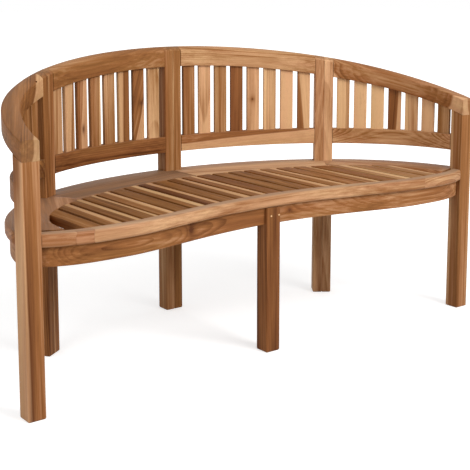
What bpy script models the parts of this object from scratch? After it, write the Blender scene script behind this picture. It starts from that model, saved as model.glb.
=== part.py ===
"""A curved teak garden bench: six posts, a bent back and arms with upright slats, and a kidney seat.

The bench faces -Y, X runs along its length and Z is up, in metres. Its pieces are laid out from
a point on the ground in the middle of its length, in line with the front faces of the end posts,
and hang on an empty that brings the middle of the bench's depth to the origin.
"""

import math
from dataclasses import dataclass

import bmesh
import bpy
import numpy as np
from mathutils import Matrix, Vector

# Fits between pieces
GAP = 0.0003
MORTISE_CLEARANCE = 0.0004
OVERRUN = 0.004
TENON = 0.014

# Posts: three square ones in front, three wide ones behind
END_POST_SPAN = 1.502
FRONT_POST = 0.047
BACK_POST_WIDTH = 0.060
POST_ROUNDING = 0.003
FOOT_ROUNDING = 0.004
STUB_SHOULDER = 0.010
STUB_HEIGHT = 0.016

# The plan line: the inner faces of back and arms, from the middle of the back to an arm's end
BACK_DEPTH = 0.537
BACK_BOW = 0.143
ARM_REACH = 0.2265
CORNER_TURN = math.radians(35)
BACK_MIDDLE_HANDLE = 0.196
BACK_CORNER_HANDLE = 0.159
ARM_CORNER_HANDLE = 0.195
ARM_END_HANDLE = 0.134

# Top rails and arms, which fall from the middle to the ends
RAIL_WIDTH = 0.047
RAIL_SIDE = 0.048
RAIL_CROWN = 0.013
ARM_END_CROWN = 0.003
RAIL_ROUNDING = 0.003
RAIL_SHOULDER = 0.009
RAIL_LOW_MIDDLE = 0.777
RAIL_LOW_CORNER = 0.7335
RAIL_LOW_END = 0.6234
CORNER_FALL = math.radians(9.3)
ARM_END_FALL = math.radians(17.5)

# Lower rails, level all the way
LOWER_RAIL_DEPTH = 0.031
LOWER_RAIL_LOW = 0.509
LOWER_RAIL_HEIGHT = 0.049
LOWER_RAIL_ROUNDING = 0.002
LOWER_RAIL_SHOULDER = 0.008

# Upright slats, housed in both rails
SLAT_WIDTH = 0.042
SLAT_THICKNESS = 0.012
SLAT_SETBACK = 0.010
SLAT_HOUSING = 0.010
SLAT_ROUNDING = 0.002
SLAT_GAP_AIM = 0.014

# Seat rim: five boards round an opening, with a ledge that carries the seat slats
SEAT_TOP = 0.4505
SEAT_THICKNESS = 0.034
SEAT_EDGE_ROUNDING = 0.009
FRONT_HOLLOW_DEPTH = 0.036
FRONT_BULGE_DEPTH = -0.034
FRONT_BULGE_INSET = 0.2155
FRONT_MIDDLE_HANDLE = 0.222
FRONT_BULGE_INNER_HANDLE = 0.118
FRONT_BULGE_OUTER_HANDLE = 0.086
FRONT_END_HANDLE = 0.086
FRONT_END_TURN = math.radians(26)
FRONT_RIM_WIDTH = 0.030
REAR_RIM_WIDTH = 0.120
END_RIM_WIDTH = 0.0675
RIM_BLANK_SPARE = 0.013
OPENING_SIDE_DEPTH = 0.045
OPENING_BACK_HANDLE = 0.284
OPENING_SIDE_HANDLE = 0.240
LEDGE_WIDTH = 0.012
LEDGE_THICKNESS = 0.011

# Seat slats, in four sections held together by battens underneath
SEAT_SLAT_GAP = 0.009
SEAT_END_OPENING = 0.0463
SEAT_SLAT_ROUNDING = 0.002
INNER_SECTION_SLATS = 6
OUTER_SECTION_SLATS = 5
BATTEN_WIDTH = 0.030
BATTEN_END_INSET = 0.001
BATTEN_EMBED = 0.002
FRONT_BATTEN_DEPTH = 0.080
INNER_REAR_BATTEN_INSET = 0.112
OUTER_REAR_BATTEN_INSET = 0.192
OUTER_REAR_BATTEN_SLATS = 3

# Aprons and the bearer under the seat
APRON_HEIGHT = 0.049
APRON_THICKNESS = 0.022
APRON_ROUNDING = 0.002
APRON_SHOULDER = 0.006
FRONT_APRON_SETBACK = 0.015
REAR_APRON_INSET = 0.013
MIDDLE_LEG_SETBACK = 0.003
MIDDLE_LEG_STUB_DEPTH = 0.014
BEARER_WIDTH = 0.030

# How finely curved pieces are cut
LINE_SAMPLES = 240
BACK_SLICES = 10
ARM_SLICES = 12
FRONT_SLICES = 12
OPENING_SLICES = 28
CROWN_STRIPS = 6
EDGE_SEGMENTS = 3

# Faces and edges count as aligned with a direction above this cosine
ALIGNED = 0.99

# Teak, and how light each kind of board is between its dark and its light tone
LIGHT_TEAK = (0.60, 0.38, 0.21)
DARK_TEAK = (0.30, 0.15, 0.065)
TEAK_ROUGHNESS = 0.62
END_POST_TONE_SHARE = 0.62
CORNER_POST_TONE_SHARE = 0.55
MIDDLE_POST_TONE_SHARE = 0.58
TOP_RAIL_TONE_SHARE = 0.60
ARM_TONE_SHARE = 0.50
LOWER_RAIL_TONE_SHARE = 0.45
FRONT_RIM_TONE_SHARE = 0.80
REAR_RIM_TONE_SHARE = 0.42
END_RIM_TONE_SHARE = 0.36
APRON_TONE_SHARE = 0.25
SEAT_SLAT_TONE_SHARE = 0.70
SLAT_TONE_SHARES = (0.35, 0.78, 0.61, 0.44, 0.86, 0.69, 0.52)

HALF_SPAN = END_POST_SPAN / 2
LINE_END = HALF_SPAN - FRONT_POST / 2
FRONT_BULGE_REACH = LINE_END - FRONT_BULGE_INSET
OPENING_BACK = BACK_DEPTH - REAR_RIM_WIDTH
OPENING_REACH = LINE_END - END_RIM_WIDTH
RIM_REACH = REAR_RIM_WIDTH + LEDGE_WIDTH + RIM_BLANK_SPARE
RIM_BOTTOM = SEAT_TOP - SEAT_THICKNESS
LEDGE_TOP = RIM_BOTTOM + LEDGE_THICKNESS
APRON_TOP = RIM_BOTTOM - GAP
APRON_LOW = APRON_TOP - APRON_HEIGHT
LOWER_RAIL_TOP = LOWER_RAIL_LOW + LOWER_RAIL_HEIGHT
HALF_SEAT_SLATS = INNER_SECTION_SLATS + OUTER_SECTION_SLATS
SEAT_SLAT_PITCH = (OPENING_REACH - SEAT_END_OPENING + SEAT_SLAT_GAP / 2) / HALF_SEAT_SLATS
MIDDLE_LEG_FRONT = FRONT_HOLLOW_DEPTH + MIDDLE_LEG_SETBACK
MIDDLE_LEG_BACK = MIDDLE_LEG_FRONT + FRONT_POST
FRONT_STRIP_WIDTH = FRONT_RIM_WIDTH + LEDGE_WIDTH
SLAT_OFFSET = SLAT_SETBACK + SLAT_THICKNESS / 2
CORNER_POINT = np.array([LINE_END - ARM_REACH, BACK_DEPTH - BACK_BOW])
CORNER_HEADING = np.array([math.cos(CORNER_TURN), -math.sin(CORNER_TURN)])
SIDES = (("left", -1), ("right", 1))


def bezier(start, start_handle, end_handle, end):
    """Points of one cubic curve, as rows of x and y."""
    t = np.linspace(0.0, 1.0, LINE_SAMPLES)[:, None]
    a, b, c, d = (np.array(point, dtype=float) for point in (start, start_handle, end_handle, end))
    return (1 - t) ** 3 * a + 3 * (1 - t) ** 2 * t * b + 3 * (1 - t) * t**2 * c + t**3 * d


class Line:
    """A curve in plan, mirrored about X = 0, measured by the distance along it from the middle."""

    def __init__(self, half, heading):
        run_on = half[-1] + np.array(heading) * np.linspace(0.0, FRONT_POST, LINE_SAMPLES)[1:, None]
        half = np.vstack([half, run_on])
        mirror = half[:0:-1] * np.array([-1.0, 1.0])
        self.points = np.vstack([mirror, half])
        steps = np.linalg.norm(np.diff(self.points, axis=0), axis=1)
        along = np.concatenate([[0.0], np.cumsum(steps)])
        self.stations = along - along[-1] / 2
        slope = np.gradient(self.points, self.stations, axis=0)
        self.tangents = slope / np.linalg.norm(slope, axis=1)[:, None]
        self.normals = np.stack([-self.tangents[:, 1], self.tangents[:, 0]], axis=1)

    def at(self, table, station):
        return np.array([np.interp(station, self.stations, table[:, axis]) for axis in (0, 1)])

    def point(self, station, offset):
        return self.at(self.points, station) + self.at(self.normals, station) * offset

    def tangent(self, station):
        return self.at(self.tangents, station)

    def meets(self, plane, offset):
        """The station at which the line, moved sideways by offset, crosses an upright plane."""
        origin, normal = plane
        right = self.stations >= 0
        moved = self.points[right] + self.normals[right] * offset
        distance = (moved - np.array(origin)) @ np.array(normal)
        return float(np.interp(0.0, distance, self.stations[right]))


def plan_line():
    back = bezier(
        (0.0, BACK_DEPTH),
        (BACK_MIDDLE_HANDLE, BACK_DEPTH),
        CORNER_POINT - CORNER_HEADING * BACK_CORNER_HANDLE,
        CORNER_POINT,
    )
    arm = bezier(
        CORNER_POINT,
        CORNER_POINT + CORNER_HEADING * ARM_CORNER_HANDLE,
        (LINE_END, ARM_END_HANDLE),
        (LINE_END, 0.0),
    )
    return Line(np.vstack([back, arm[1:]]), (0.0, -1.0))


def front_line():
    """The seat's front edge: hollow in the middle and bulging towards both ends."""
    bulge = (FRONT_BULGE_REACH, FRONT_BULGE_DEPTH)
    hollow = bezier(
        (0.0, FRONT_HOLLOW_DEPTH),
        (FRONT_MIDDLE_HANDLE, FRONT_HOLLOW_DEPTH),
        (FRONT_BULGE_REACH - FRONT_BULGE_INNER_HANDLE, FRONT_BULGE_DEPTH),
        bulge,
    )
    end = np.array([LINE_END, 0.0])
    heading = np.array([math.cos(FRONT_END_TURN), math.sin(FRONT_END_TURN)])
    shoulder = bezier(
        bulge,
        (FRONT_BULGE_REACH + FRONT_BULGE_OUTER_HANDLE, FRONT_BULGE_DEPTH),
        end - heading * FRONT_END_HANDLE,
        end,
    )
    return Line(np.vstack([hollow, shoulder[1:]]), heading)


PLAN = plan_line()
FRONT = front_line()
OPENING_REAR = bezier(
    (0.0, OPENING_BACK),
    (OPENING_BACK_HANDLE, OPENING_BACK),
    (OPENING_REACH, OPENING_SIDE_DEPTH + OPENING_SIDE_HANDLE),
    (OPENING_REACH, OPENING_SIDE_DEPTH),
)

# Upright planes that boards are cut to: a point, and the way along the line
HALF_BACK_POST = BACK_POST_WIDTH / 2 + GAP
HALF_FRONT_POST = FRONT_POST / 2 + GAP
AT_MIDDLE_POST = ((HALF_BACK_POST, 0.0), (1.0, 0.0))
BEFORE_CORNER_POST = (CORNER_POINT - CORNER_HEADING * HALF_BACK_POST, CORNER_HEADING)
AFTER_CORNER_POST = (CORNER_POINT + CORNER_HEADING * HALF_BACK_POST, CORNER_HEADING)
BEHIND_END_POST = ((0.0, FRONT_POST + GAP), (0.0, -1.0))
ARM_FRONT = ((0.0, 0.0), (0.0, -1.0))
AT_MIDDLE_LEG = ((HALF_FRONT_POST, 0.0), (1.0, 0.0))
AT_END_POST = ((LINE_END - GAP, 0.0), (1.0, 0.0))
RIM_MIDDLE = ((GAP / 2, 0.0), (1.0, 0.0))
RIM_BEFORE_CORNER = (CORNER_POINT - CORNER_HEADING * GAP / 2, CORNER_HEADING)
RIM_AFTER_CORNER = (CORNER_POINT + CORNER_HEADING * GAP / 2, CORNER_HEADING)

CORNER_STATION = PLAN.meets((CORNER_POINT, CORNER_HEADING), 0.0)
ARM_LENGTH = PLAN.meets(ARM_FRONT, 0.0) - CORNER_STATION


def eased(start, end, start_slope, end_slope, share, length):
    """Height on a smooth fall between two heights with given slopes."""
    t = share
    return (
        start * (2 * t**3 - 3 * t**2 + 1)
        + end * (3 * t**2 - 2 * t**3)
        + length * start_slope * (t**3 - 2 * t**2 + t)
        + length * end_slope * (t**3 - t**2)
    )


def rail_low(station):
    """Height of the top rail's underside."""
    station = abs(station)
    if station < CORNER_STATION:
        share = station / CORNER_STATION
        return eased(RAIL_LOW_MIDDLE, RAIL_LOW_CORNER, 0.0, -math.tan(CORNER_FALL), share, CORNER_STATION)
    share = (station - CORNER_STATION) / ARM_LENGTH
    slopes = (-math.tan(CORNER_FALL), -math.tan(ARM_END_FALL))
    return eased(RAIL_LOW_CORNER, RAIL_LOW_END, *slopes, share, ARM_LENGTH)


def rail_top(station, offset):
    """Height of the crowned top, which is round behind and nearly flat at the arms' ends."""
    share = min(max((abs(station) - CORNER_STATION) / ARM_LENGTH, 0.0), 1.0)
    ease = share * share * (3 - 2 * share)
    crown = RAIL_CROWN + (ARM_END_CROWN - RAIL_CROWN) * ease
    across = min(max(offset / RAIL_WIDTH, 0.0), 1.0)
    return rail_low(station) + RAIL_SIDE + crown * 4 * across * (1 - across)


def front_depth(x):
    return float(np.interp(x, FRONT.points[:, 0], FRONT.points[:, 1]))


def opening_depth(x):
    """Where the seat's opening ends behind, at a distance x from the middle."""
    return float(np.interp(abs(x), OPENING_REAR[:, 0], OPENING_REAR[:, 1]))


@dataclass(frozen=True)
class Section:
    """The section of a board that follows a line: its reach sideways, its heights and its edges."""

    inner: float
    outer: float
    low: float
    high: float
    rounding: float
    shoulder: float
    crowned: bool = False


TOP_RAIL = Section(0.0, RAIL_WIDTH, 0.0, RAIL_SIDE, RAIL_ROUNDING, RAIL_SHOULDER, crowned=True)
LOWER_RAIL = Section(
    0.0, LOWER_RAIL_DEPTH, LOWER_RAIL_LOW, LOWER_RAIL_TOP, LOWER_RAIL_ROUNDING, LOWER_RAIL_SHOULDER
)


def apron_section(inner):
    outer = inner + APRON_THICKNESS
    return Section(inner, outer, APRON_LOW, APRON_TOP, APRON_ROUNDING, APRON_SHOULDER)


REAR_APRON = apron_section(REAR_APRON_INSET)
FRONT_APRON = apron_section(FRONT_APRON_SETBACK)


def clear_scene():
    for obj in list(bpy.data.objects):
        bpy.data.objects.remove(obj, do_unlink=True)


def new_collection(name):
    group = bpy.data.collections.new(name)
    bpy.context.scene.collection.children.link(group)
    return group


def teak(name, tone):
    """Oiled teak, from dark heartwood at tone 0 to light wood at tone 1."""
    material = bpy.data.materials.new(name + "_teak")
    material.use_nodes = True
    shader = material.node_tree.nodes["Principled BSDF"]
    colour = [dark + (light - dark) * tone for light, dark in zip(LIGHT_TEAK, DARK_TEAK)]
    shader.inputs["Base Color"].default_value = (*colour, 1.0)
    shader.inputs["Roughness"].default_value = TEAK_ROUGHNESS
    shader.inputs["Metallic"].default_value = 0.0
    return material


def new_object(name, bm, group):
    mesh = bpy.data.meshes.new(name)
    bm.to_mesh(mesh)
    bm.free()
    obj = bpy.data.objects.new(name, mesh)
    group.objects.link(obj)
    return obj


def part(name, bm, tone):
    """A piece of the bench, with its own material."""
    obj = new_object(name, bm, BENCH)
    obj.parent = MIDDLE
    obj.data.materials.append(teak(name, tone))
    return obj


def combine(obj, bm, purpose, operation="DIFFERENCE"):
    """Cuts a shape from a piece, or joins or trims the piece with it."""
    tool = new_object(obj.name + "_" + purpose, bm, CUTTERS)
    tool.parent = MIDDLE
    tool.hide_render = True
    tool.display_type = "WIRE"
    modifier = obj.modifiers.new(purpose, "BOOLEAN")
    modifier.operation = operation
    modifier.solver = "EXACT"
    modifier.object = tool


def merged(shapes):
    """Several closed shapes in one mesh."""
    result = bmesh.new()
    for bm in shapes:
        mesh = bpy.data.meshes.new("shape")
        bm.to_mesh(mesh)
        bm.free()
        result.from_mesh(mesh)
        bpy.data.meshes.remove(mesh)
    return result


def mirrored(bm):
    bmesh.ops.scale(bm, vec=(-1.0, 1.0, 1.0), verts=bm.verts)
    bmesh.ops.reverse_faces(bm, faces=bm.faces)
    return bm


def on_side(bm, side):
    """A shape that was made on the right, put on the side that is asked for."""
    return bm if side > 0 else mirrored(bm)


def on_both_sides(make):
    return merged([make(), mirrored(make())])


def box(low, high):
    bm = bmesh.new()
    bmesh.ops.create_cube(bm, size=1.0)
    low, high = Vector(low), Vector(high)
    bmesh.ops.scale(bm, vec=high - low, verts=bm.verts)
    bmesh.ops.translate(bm, vec=(low + high) / 2, verts=bm.verts)
    return bm


def edges_along(bm, axis):
    ways = [(edge, (edge.verts[0].co - edge.verts[1].co).normalized()) for edge in bm.edges]
    return [edge for edge, way in ways if abs(way[axis]) > ALIGNED]


def round_edges(bm, edges, rounding, segments=1):
    bmesh.ops.bevel(bm, geom=edges, offset=rounding, segments=segments, profile=0.5, affect="EDGES")


def slice_up(bm, axis, count, low, high):
    """Cuts a straight blank into equal slices, so that it can bend."""
    normal = Vector([1.0 if index == axis else 0.0 for index in range(3)])
    for index in range(1, count):
        at = normal * (low + (high - low) * index / count)
        geometry = bm.verts[:] + bm.edges[:] + bm.faces[:]
        bmesh.ops.bisect_plane(bm, geom=geometry, plane_co=at, plane_no=normal)


def grow_end(bm, direction, length, shoulder=0.0):
    """Draws out the end faces that look one way, as a tenon where there is a shoulder round them."""
    direction = Vector(direction)
    bm.normal_update()
    ends = [face for face in bm.faces if face.normal.dot(direction) > ALIGNED]
    if shoulder:
        bmesh.ops.inset_region(bm, faces=ends, thickness=shoulder, use_even_offset=True)
    grown = bmesh.ops.extrude_face_region(bm, geom=ends)
    tip = [item for item in grown["geom"] if isinstance(item, bmesh.types.BMVert)]
    bmesh.ops.translate(bm, vec=direction * length, verts=tip)
    left_inside = [face for face in ends if face.is_valid]
    bmesh.ops.delete(bm, geom=left_inside, context="FACES")


def bent_board(line, section, near, far, slices, tenons=(True, True)):
    """A board that follows a line, with its ends cut to two planes and a tenon where one is asked for."""
    inner, outer, low, high = section.inner, section.outer, section.low, section.high
    length = line.meets(far, inner) - line.meets(near, inner)
    bm = box((0.0, inner, low), (length, outer, high))
    if tenons[0]:
        grow_end(bm, (-1.0, 0.0, 0.0), TENON, section.shoulder)
    if tenons[1]:
        grow_end(bm, (1.0, 0.0, 0.0), TENON, section.shoulder)
    edges = [edge for edge in edges_along(bm, 0) if edge.calc_length() > length / 2]
    if section.crowned:
        edges = [edge for edge in edges if edge.verts[0].co.z < high - GAP]
    if section.rounding:
        round_edges(bm, edges, section.rounding)
    slice_up(bm, 0, slices, 0.0, length)
    if section.crowned:
        slice_up(bm, 1, CROWN_STRIPS, inner, outer)
    bend(bm, line, section, near, far, length)
    return bm


def bend(bm, line, section, near, far, length):
    """Lays a straight blank along a line, and lifts a top rail to its crowned height."""
    for vert in bm.verts:
        along, offset, height = vert.co
        start = line.meets(near, offset)
        finish = line.meets(far, offset)
        if along < 0.0:
            station = start + along
        elif along > length:
            station = finish + along - length
        else:
            station = start + (finish - start) * along / length
        if section.crowned and height > section.high - GAP:
            height = rail_top(station, offset)
        elif section.crowned:
            height += rail_low(station)
        x, y = line.point(station, offset)
        vert.co = (x, y, height)
    bmesh.ops.triangulate(bm, faces=bm.faces)


def tenon_pocket(line, section, plane, towards):
    """The mortise that a board's tenon needs in a post, open at the post's face."""
    inset = section.shoulder - MORTISE_CLEARANCE
    reach = TENON + MORTISE_CLEARANCE
    span = (-reach, OVERRUN) if towards < 0 else (-OVERRUN, reach)
    low = (span[0], section.inner + inset, section.low + inset)
    high = (span[1], section.outer - inset, section.high - inset)
    bm = box(low, high)
    for vert in bm.verts:
        station = line.meets(plane, vert.co.y) + vert.co.x
        rise = rail_low(station) if section.crowned else 0.0
        x, y = line.point(station, vert.co.y)
        vert.co = (x, y, vert.co.z + rise)
    bmesh.ops.triangulate(bm, faces=bm.faces)
    return bm


def slat_stations(near, far):
    """As many slats as fit about the wanted gap apart, spread evenly between two posts."""
    start = PLAN.meets(near, SLAT_OFFSET)
    finish = PLAN.meets(far, SLAT_OFFSET)
    count = round((finish - start - SLAT_GAP_AIM) / (SLAT_WIDTH + SLAT_GAP_AIM))
    gap = (finish - start - count * SLAT_WIDTH) / (count + 1)
    return [start + gap + SLAT_WIDTH / 2 + index * (SLAT_WIDTH + gap) for index in range(count)]


def slat_solid(station, clearance=0.0, rounding=0.0):
    """One upright slat, or the pocket that it needs in both rails."""
    top = rail_low(station) + SLAT_HOUSING + clearance
    bottom = LOWER_RAIL_TOP - SLAT_HOUSING - clearance
    half = SLAT_WIDTH / 2 + clearance
    depth = SLAT_THICKNESS / 2 + clearance
    bm = box((-half, -depth, bottom), (half, depth, top))
    if rounding:
        round_edges(bm, edges_along(bm, 2), rounding)
    heading = PLAN.tangent(station)
    turn = Matrix.Rotation(math.atan2(heading[1], heading[0]), 4, "Z")
    x, y = PLAN.point(station, SLAT_OFFSET)
    bmesh.ops.transform(bm, matrix=Matrix.Translation((x, y, 0.0)) @ turn, verts=bm.verts)
    return bm


def slat_pockets(stations):
    return merged([slat_solid(station, clearance=MORTISE_CLEARANCE) for station in stations])


BACK_STATIONS = slat_stations(AT_MIDDLE_POST, BEFORE_CORNER_POST)
ARM_STATIONS = slat_stations(AFTER_CORNER_POST, BEHIND_END_POST)


def square_post(near, far, height):
    """A square post with eased edges and a rounded foot."""
    bm = box((*near, 0.0), (*far, height))
    round_edges(bm, edges_along(bm, 2), POST_ROUNDING)
    foot = [edge for edge in bm.edges if max(vert.co.z for vert in edge.verts) < GAP]
    round_edges(bm, foot, FOOT_ROUNDING)
    return bm


def end_stub(clearance=0.0):
    """The stub tenon on an end post that holds the arm down, or the mortise for it."""
    inset = STUB_SHOULDER - clearance
    low = (LINE_END + inset, inset, RAIL_LOW_END - STUB_HEIGHT)
    high = (LINE_END + FRONT_POST - inset, FRONT_POST - inset, RAIL_LOW_END + STUB_HEIGHT + clearance)
    return box(low, high)


def over_arm():
    """The room over an arm's underside, which gives the end post its sloping top."""
    section = Section(-OVERRUN, RAIL_WIDTH + OVERRUN, 0.0, RAIL_SIDE, 0.0, 0.0, crowned=True)
    ahead = ((0.0, -OVERRUN), (0.0, -1.0))
    bm = bent_board(PLAN, section, AFTER_CORNER_POST, ahead, ARM_SLICES, tenons=(False, False))
    bmesh.ops.translate(bm, vec=(0.0, 0.0, -GAP), verts=bm.verts)
    return bm


def make_end_posts():
    for name, side in SIDES:
        height = RAIL_LOW_END + STUB_HEIGHT
        blank = square_post((LINE_END, 0.0), (LINE_END + FRONT_POST, FRONT_POST), height)
        post = part("end_post_" + name, on_side(blank, side), END_POST_TONE_SHARE)
        pockets = [
            tenon_pocket(PLAN, LOWER_RAIL, BEHIND_END_POST, 1),
            tenon_pocket(PLAN, REAR_APRON, BEHIND_END_POST, 1),
            tenon_pocket(FRONT, FRONT_APRON, AT_END_POST, 1),
        ]
        combine(post, on_side(merged(pockets), side), "mortises")
        combine(post, on_side(over_arm(), side), "top")
        combine(post, on_side(end_stub(), side), "stub", "UNION")


def back_post(station):
    """A wide post whose top carries on the crown of the rails beside it."""
    half = BACK_POST_WIDTH / 2
    bm = box((-half, 0.0, 0.0), (half, RAIL_WIDTH, RAIL_LOW_MIDDLE))
    round_edges(bm, edges_along(bm, 2), POST_ROUNDING)
    foot = [edge for edge in bm.edges if max(vert.co.z for vert in edge.verts) < GAP]
    round_edges(bm, foot, FOOT_ROUNDING)
    slice_up(bm, 0, 2, -half, half)
    slice_up(bm, 1, CROWN_STRIPS, 0.0, RAIL_WIDTH)
    for vert in bm.verts:
        if vert.co.z > RAIL_LOW_MIDDLE - GAP:
            vert.co.z = rail_top(station + vert.co.x, vert.co.y)
    return bm


def corner_place():
    x, y = CORNER_POINT
    return Matrix.Translation((x, y, 0.0)) @ Matrix.Rotation(-CORNER_TURN, 4, "Z")


def make_corner_posts():
    for name, side in SIDES:
        blank = back_post(CORNER_STATION)
        bmesh.ops.transform(blank, matrix=corner_place(), verts=blank.verts)
        post = part("corner_post_" + name, on_side(blank, side), CORNER_POST_TONE_SHARE)
        pockets = [
            tenon_pocket(PLAN, section, plane, towards)
            for section in (TOP_RAIL, LOWER_RAIL, REAR_APRON)
            for plane, towards in ((BEFORE_CORNER_POST, 1), (AFTER_CORNER_POST, -1))
        ]
        combine(post, on_side(merged(pockets), side), "mortises")


def bearer_solid():
    """The bearer between the middle leg and the middle back post, with its tenons."""
    half = BEARER_WIDTH / 2
    near = MIDDLE_LEG_BACK + GAP
    far = BACK_DEPTH - GAP
    bm = box((-half, near, APRON_LOW), (half, far, APRON_TOP))
    grow_end(bm, (0.0, -1.0, 0.0), TENON, APRON_SHOULDER)
    grow_end(bm, (0.0, 1.0, 0.0), TENON, APRON_SHOULDER)
    long_edges = [edge for edge in edges_along(bm, 1) if edge.calc_length() > (far - near) / 2]
    round_edges(bm, long_edges, APRON_ROUNDING)
    return bm


def bearer_pocket(face, towards):
    """The mortise for one end of the bearer."""
    inset = APRON_SHOULDER - MORTISE_CLEARANCE
    half = BEARER_WIDTH / 2 - inset
    reach = TENON + MORTISE_CLEARANCE
    near, far = sorted((face - OVERRUN * towards, face + reach * towards))
    return box((-half, near, APRON_LOW + inset), (half, far, APRON_TOP - inset))


def make_middle_posts():
    blank = back_post(0.0)
    bmesh.ops.translate(blank, vec=(0.0, BACK_DEPTH, 0.0), verts=blank.verts)
    post = part("back_post_center", blank, MIDDLE_POST_TONE_SHARE)
    pockets = [bearer_pocket(BACK_DEPTH, 1)]
    for section in (TOP_RAIL, LOWER_RAIL, REAR_APRON):
        pockets.append(on_both_sides(lambda: tenon_pocket(PLAN, section, AT_MIDDLE_POST, -1)))
    combine(post, merged(pockets), "mortises")

    half = FRONT_POST / 2
    leg = square_post((-half, MIDDLE_LEG_FRONT), (half, MIDDLE_LEG_BACK), APRON_TOP)
    leg = part("front_leg_center", leg, MIDDLE_POST_TONE_SHARE)
    pockets = [
        bearer_pocket(MIDDLE_LEG_BACK, -1),
        on_both_sides(lambda: tenon_pocket(FRONT, FRONT_APRON, AT_MIDDLE_LEG, -1)),
    ]
    combine(leg, merged(pockets), "mortises")
    combine(leg, leg_stub(), "stub", "UNION")


def leg_stub(clearance=0.0):
    """The stub tenon of the middle leg under the front rim, or the mortise for it."""
    half = FRONT_POST / 2 - STUB_SHOULDER + clearance
    front = MIDDLE_LEG_FRONT + STUB_SHOULDER - clearance
    back = MIDDLE_LEG_FRONT + STUB_SHOULDER + MIDDLE_LEG_STUB_DEPTH + clearance
    return box((-half, front, APRON_TOP - OVERRUN), (half, back, RIM_BOTTOM + STUB_HEIGHT + clearance))


def make_rails():
    for name, side in SIDES:
        back = bent_board(PLAN, TOP_RAIL, AT_MIDDLE_POST, BEFORE_CORNER_POST, BACK_SLICES)
        rail = part("back_top_rail_" + name, on_side(back, side), TOP_RAIL_TONE_SHARE)
        combine(rail, on_side(slat_pockets(BACK_STATIONS), side), "slat_housings")
        arm = bent_board(PLAN, TOP_RAIL, AFTER_CORNER_POST, ARM_FRONT, ARM_SLICES, tenons=(True, False))
        rail = part("arm_rail_" + name, on_side(arm, side), ARM_TONE_SHARE)
        combine(rail, on_side(slat_pockets(ARM_STATIONS), side), "slat_housings")
        combine(rail, on_side(end_stub(MORTISE_CLEARANCE), side), "mortise")
        back = bent_board(PLAN, LOWER_RAIL, AT_MIDDLE_POST, BEFORE_CORNER_POST, BACK_SLICES)
        rail = part("back_lower_rail_" + name, on_side(back, side), LOWER_RAIL_TONE_SHARE)
        combine(rail, on_side(slat_pockets(BACK_STATIONS), side), "slat_housings")
        arm = bent_board(PLAN, LOWER_RAIL, AFTER_CORNER_POST, BEHIND_END_POST, ARM_SLICES)
        rail = part("arm_lower_rail_" + name, on_side(arm, side), LOWER_RAIL_TONE_SHARE)
        combine(rail, on_side(slat_pockets(ARM_STATIONS), side), "slat_housings")


def make_slats():
    """The upright slats, numbered from the middle post outwards and from the corner posts forwards."""
    for name, side in SIDES:
        for panel, stations in (("back", BACK_STATIONS), ("arm", ARM_STATIONS)):
            for index, station in enumerate(stations):
                blank = slat_solid(station, rounding=SLAT_ROUNDING)
                tone = SLAT_TONE_SHARES[index % len(SLAT_TONE_SHARES)]
                part(f"{panel}_slat_{name}_{index + 1}", on_side(blank, side), tone)


def front_blank(front, back, low, high):
    """A straight blank for the seat's front, sliced so that it can bend."""
    reach = LINE_END - GAP
    return box((-reach, front, low), (reach, back, high))


def follow_front(bm):
    reach = LINE_END - GAP
    slice_up(bm, 0, 2 * FRONT_SLICES, -reach, reach)
    for vert in bm.verts:
        vert.co.y += front_depth(vert.co.x)
    return bm


def ahead_of_end_rim():
    """The room that the front rim takes from the end boards of the rim, with the fit between them."""
    bm = front_blank(-FRONT_STRIP_WIDTH, FRONT_STRIP_WIDTH + GAP, RIM_BOTTOM - OVERRUN, SEAT_TOP + OVERRUN)
    bm = follow_front(bm)
    grow_end(bm, (-1.0, 0.0, 0.0), OVERRUN)
    grow_end(bm, (1.0, 0.0, 0.0), OVERRUN)
    return bm


def seat_opening(inset, low, high):
    """The upright room inside the rim. An inset keeps it away from the rim all round."""
    bm = box((-1.0, 0.0, low), (1.0, 1.0, high))
    slice_up(bm, 0, OPENING_SLICES, -1.0, 1.0)
    for vert in bm.verts:
        share = math.sin(vert.co.x * math.pi / 2)
        x = share * (OPENING_REACH - inset)
        if vert.co.y < 0.5:
            y = front_depth(x) + FRONT_RIM_WIDTH + inset
        else:
            y = opening_depth(share * OPENING_REACH) - inset
        vert.co = (x, y, vert.co.z)
    return bm


def post_notch(near, far):
    """The room round a post that passes the rim."""
    return box((*near, RIM_BOTTOM - OVERRUN), (*far, SEAT_TOP + OVERRUN))


def corner_notch():
    half = HALF_BACK_POST
    bm = post_notch((-half, -GAP), (half, RAIL_WIDTH + OVERRUN))
    bmesh.ops.transform(bm, matrix=corner_place(), verts=bm.verts)
    return bm


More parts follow.
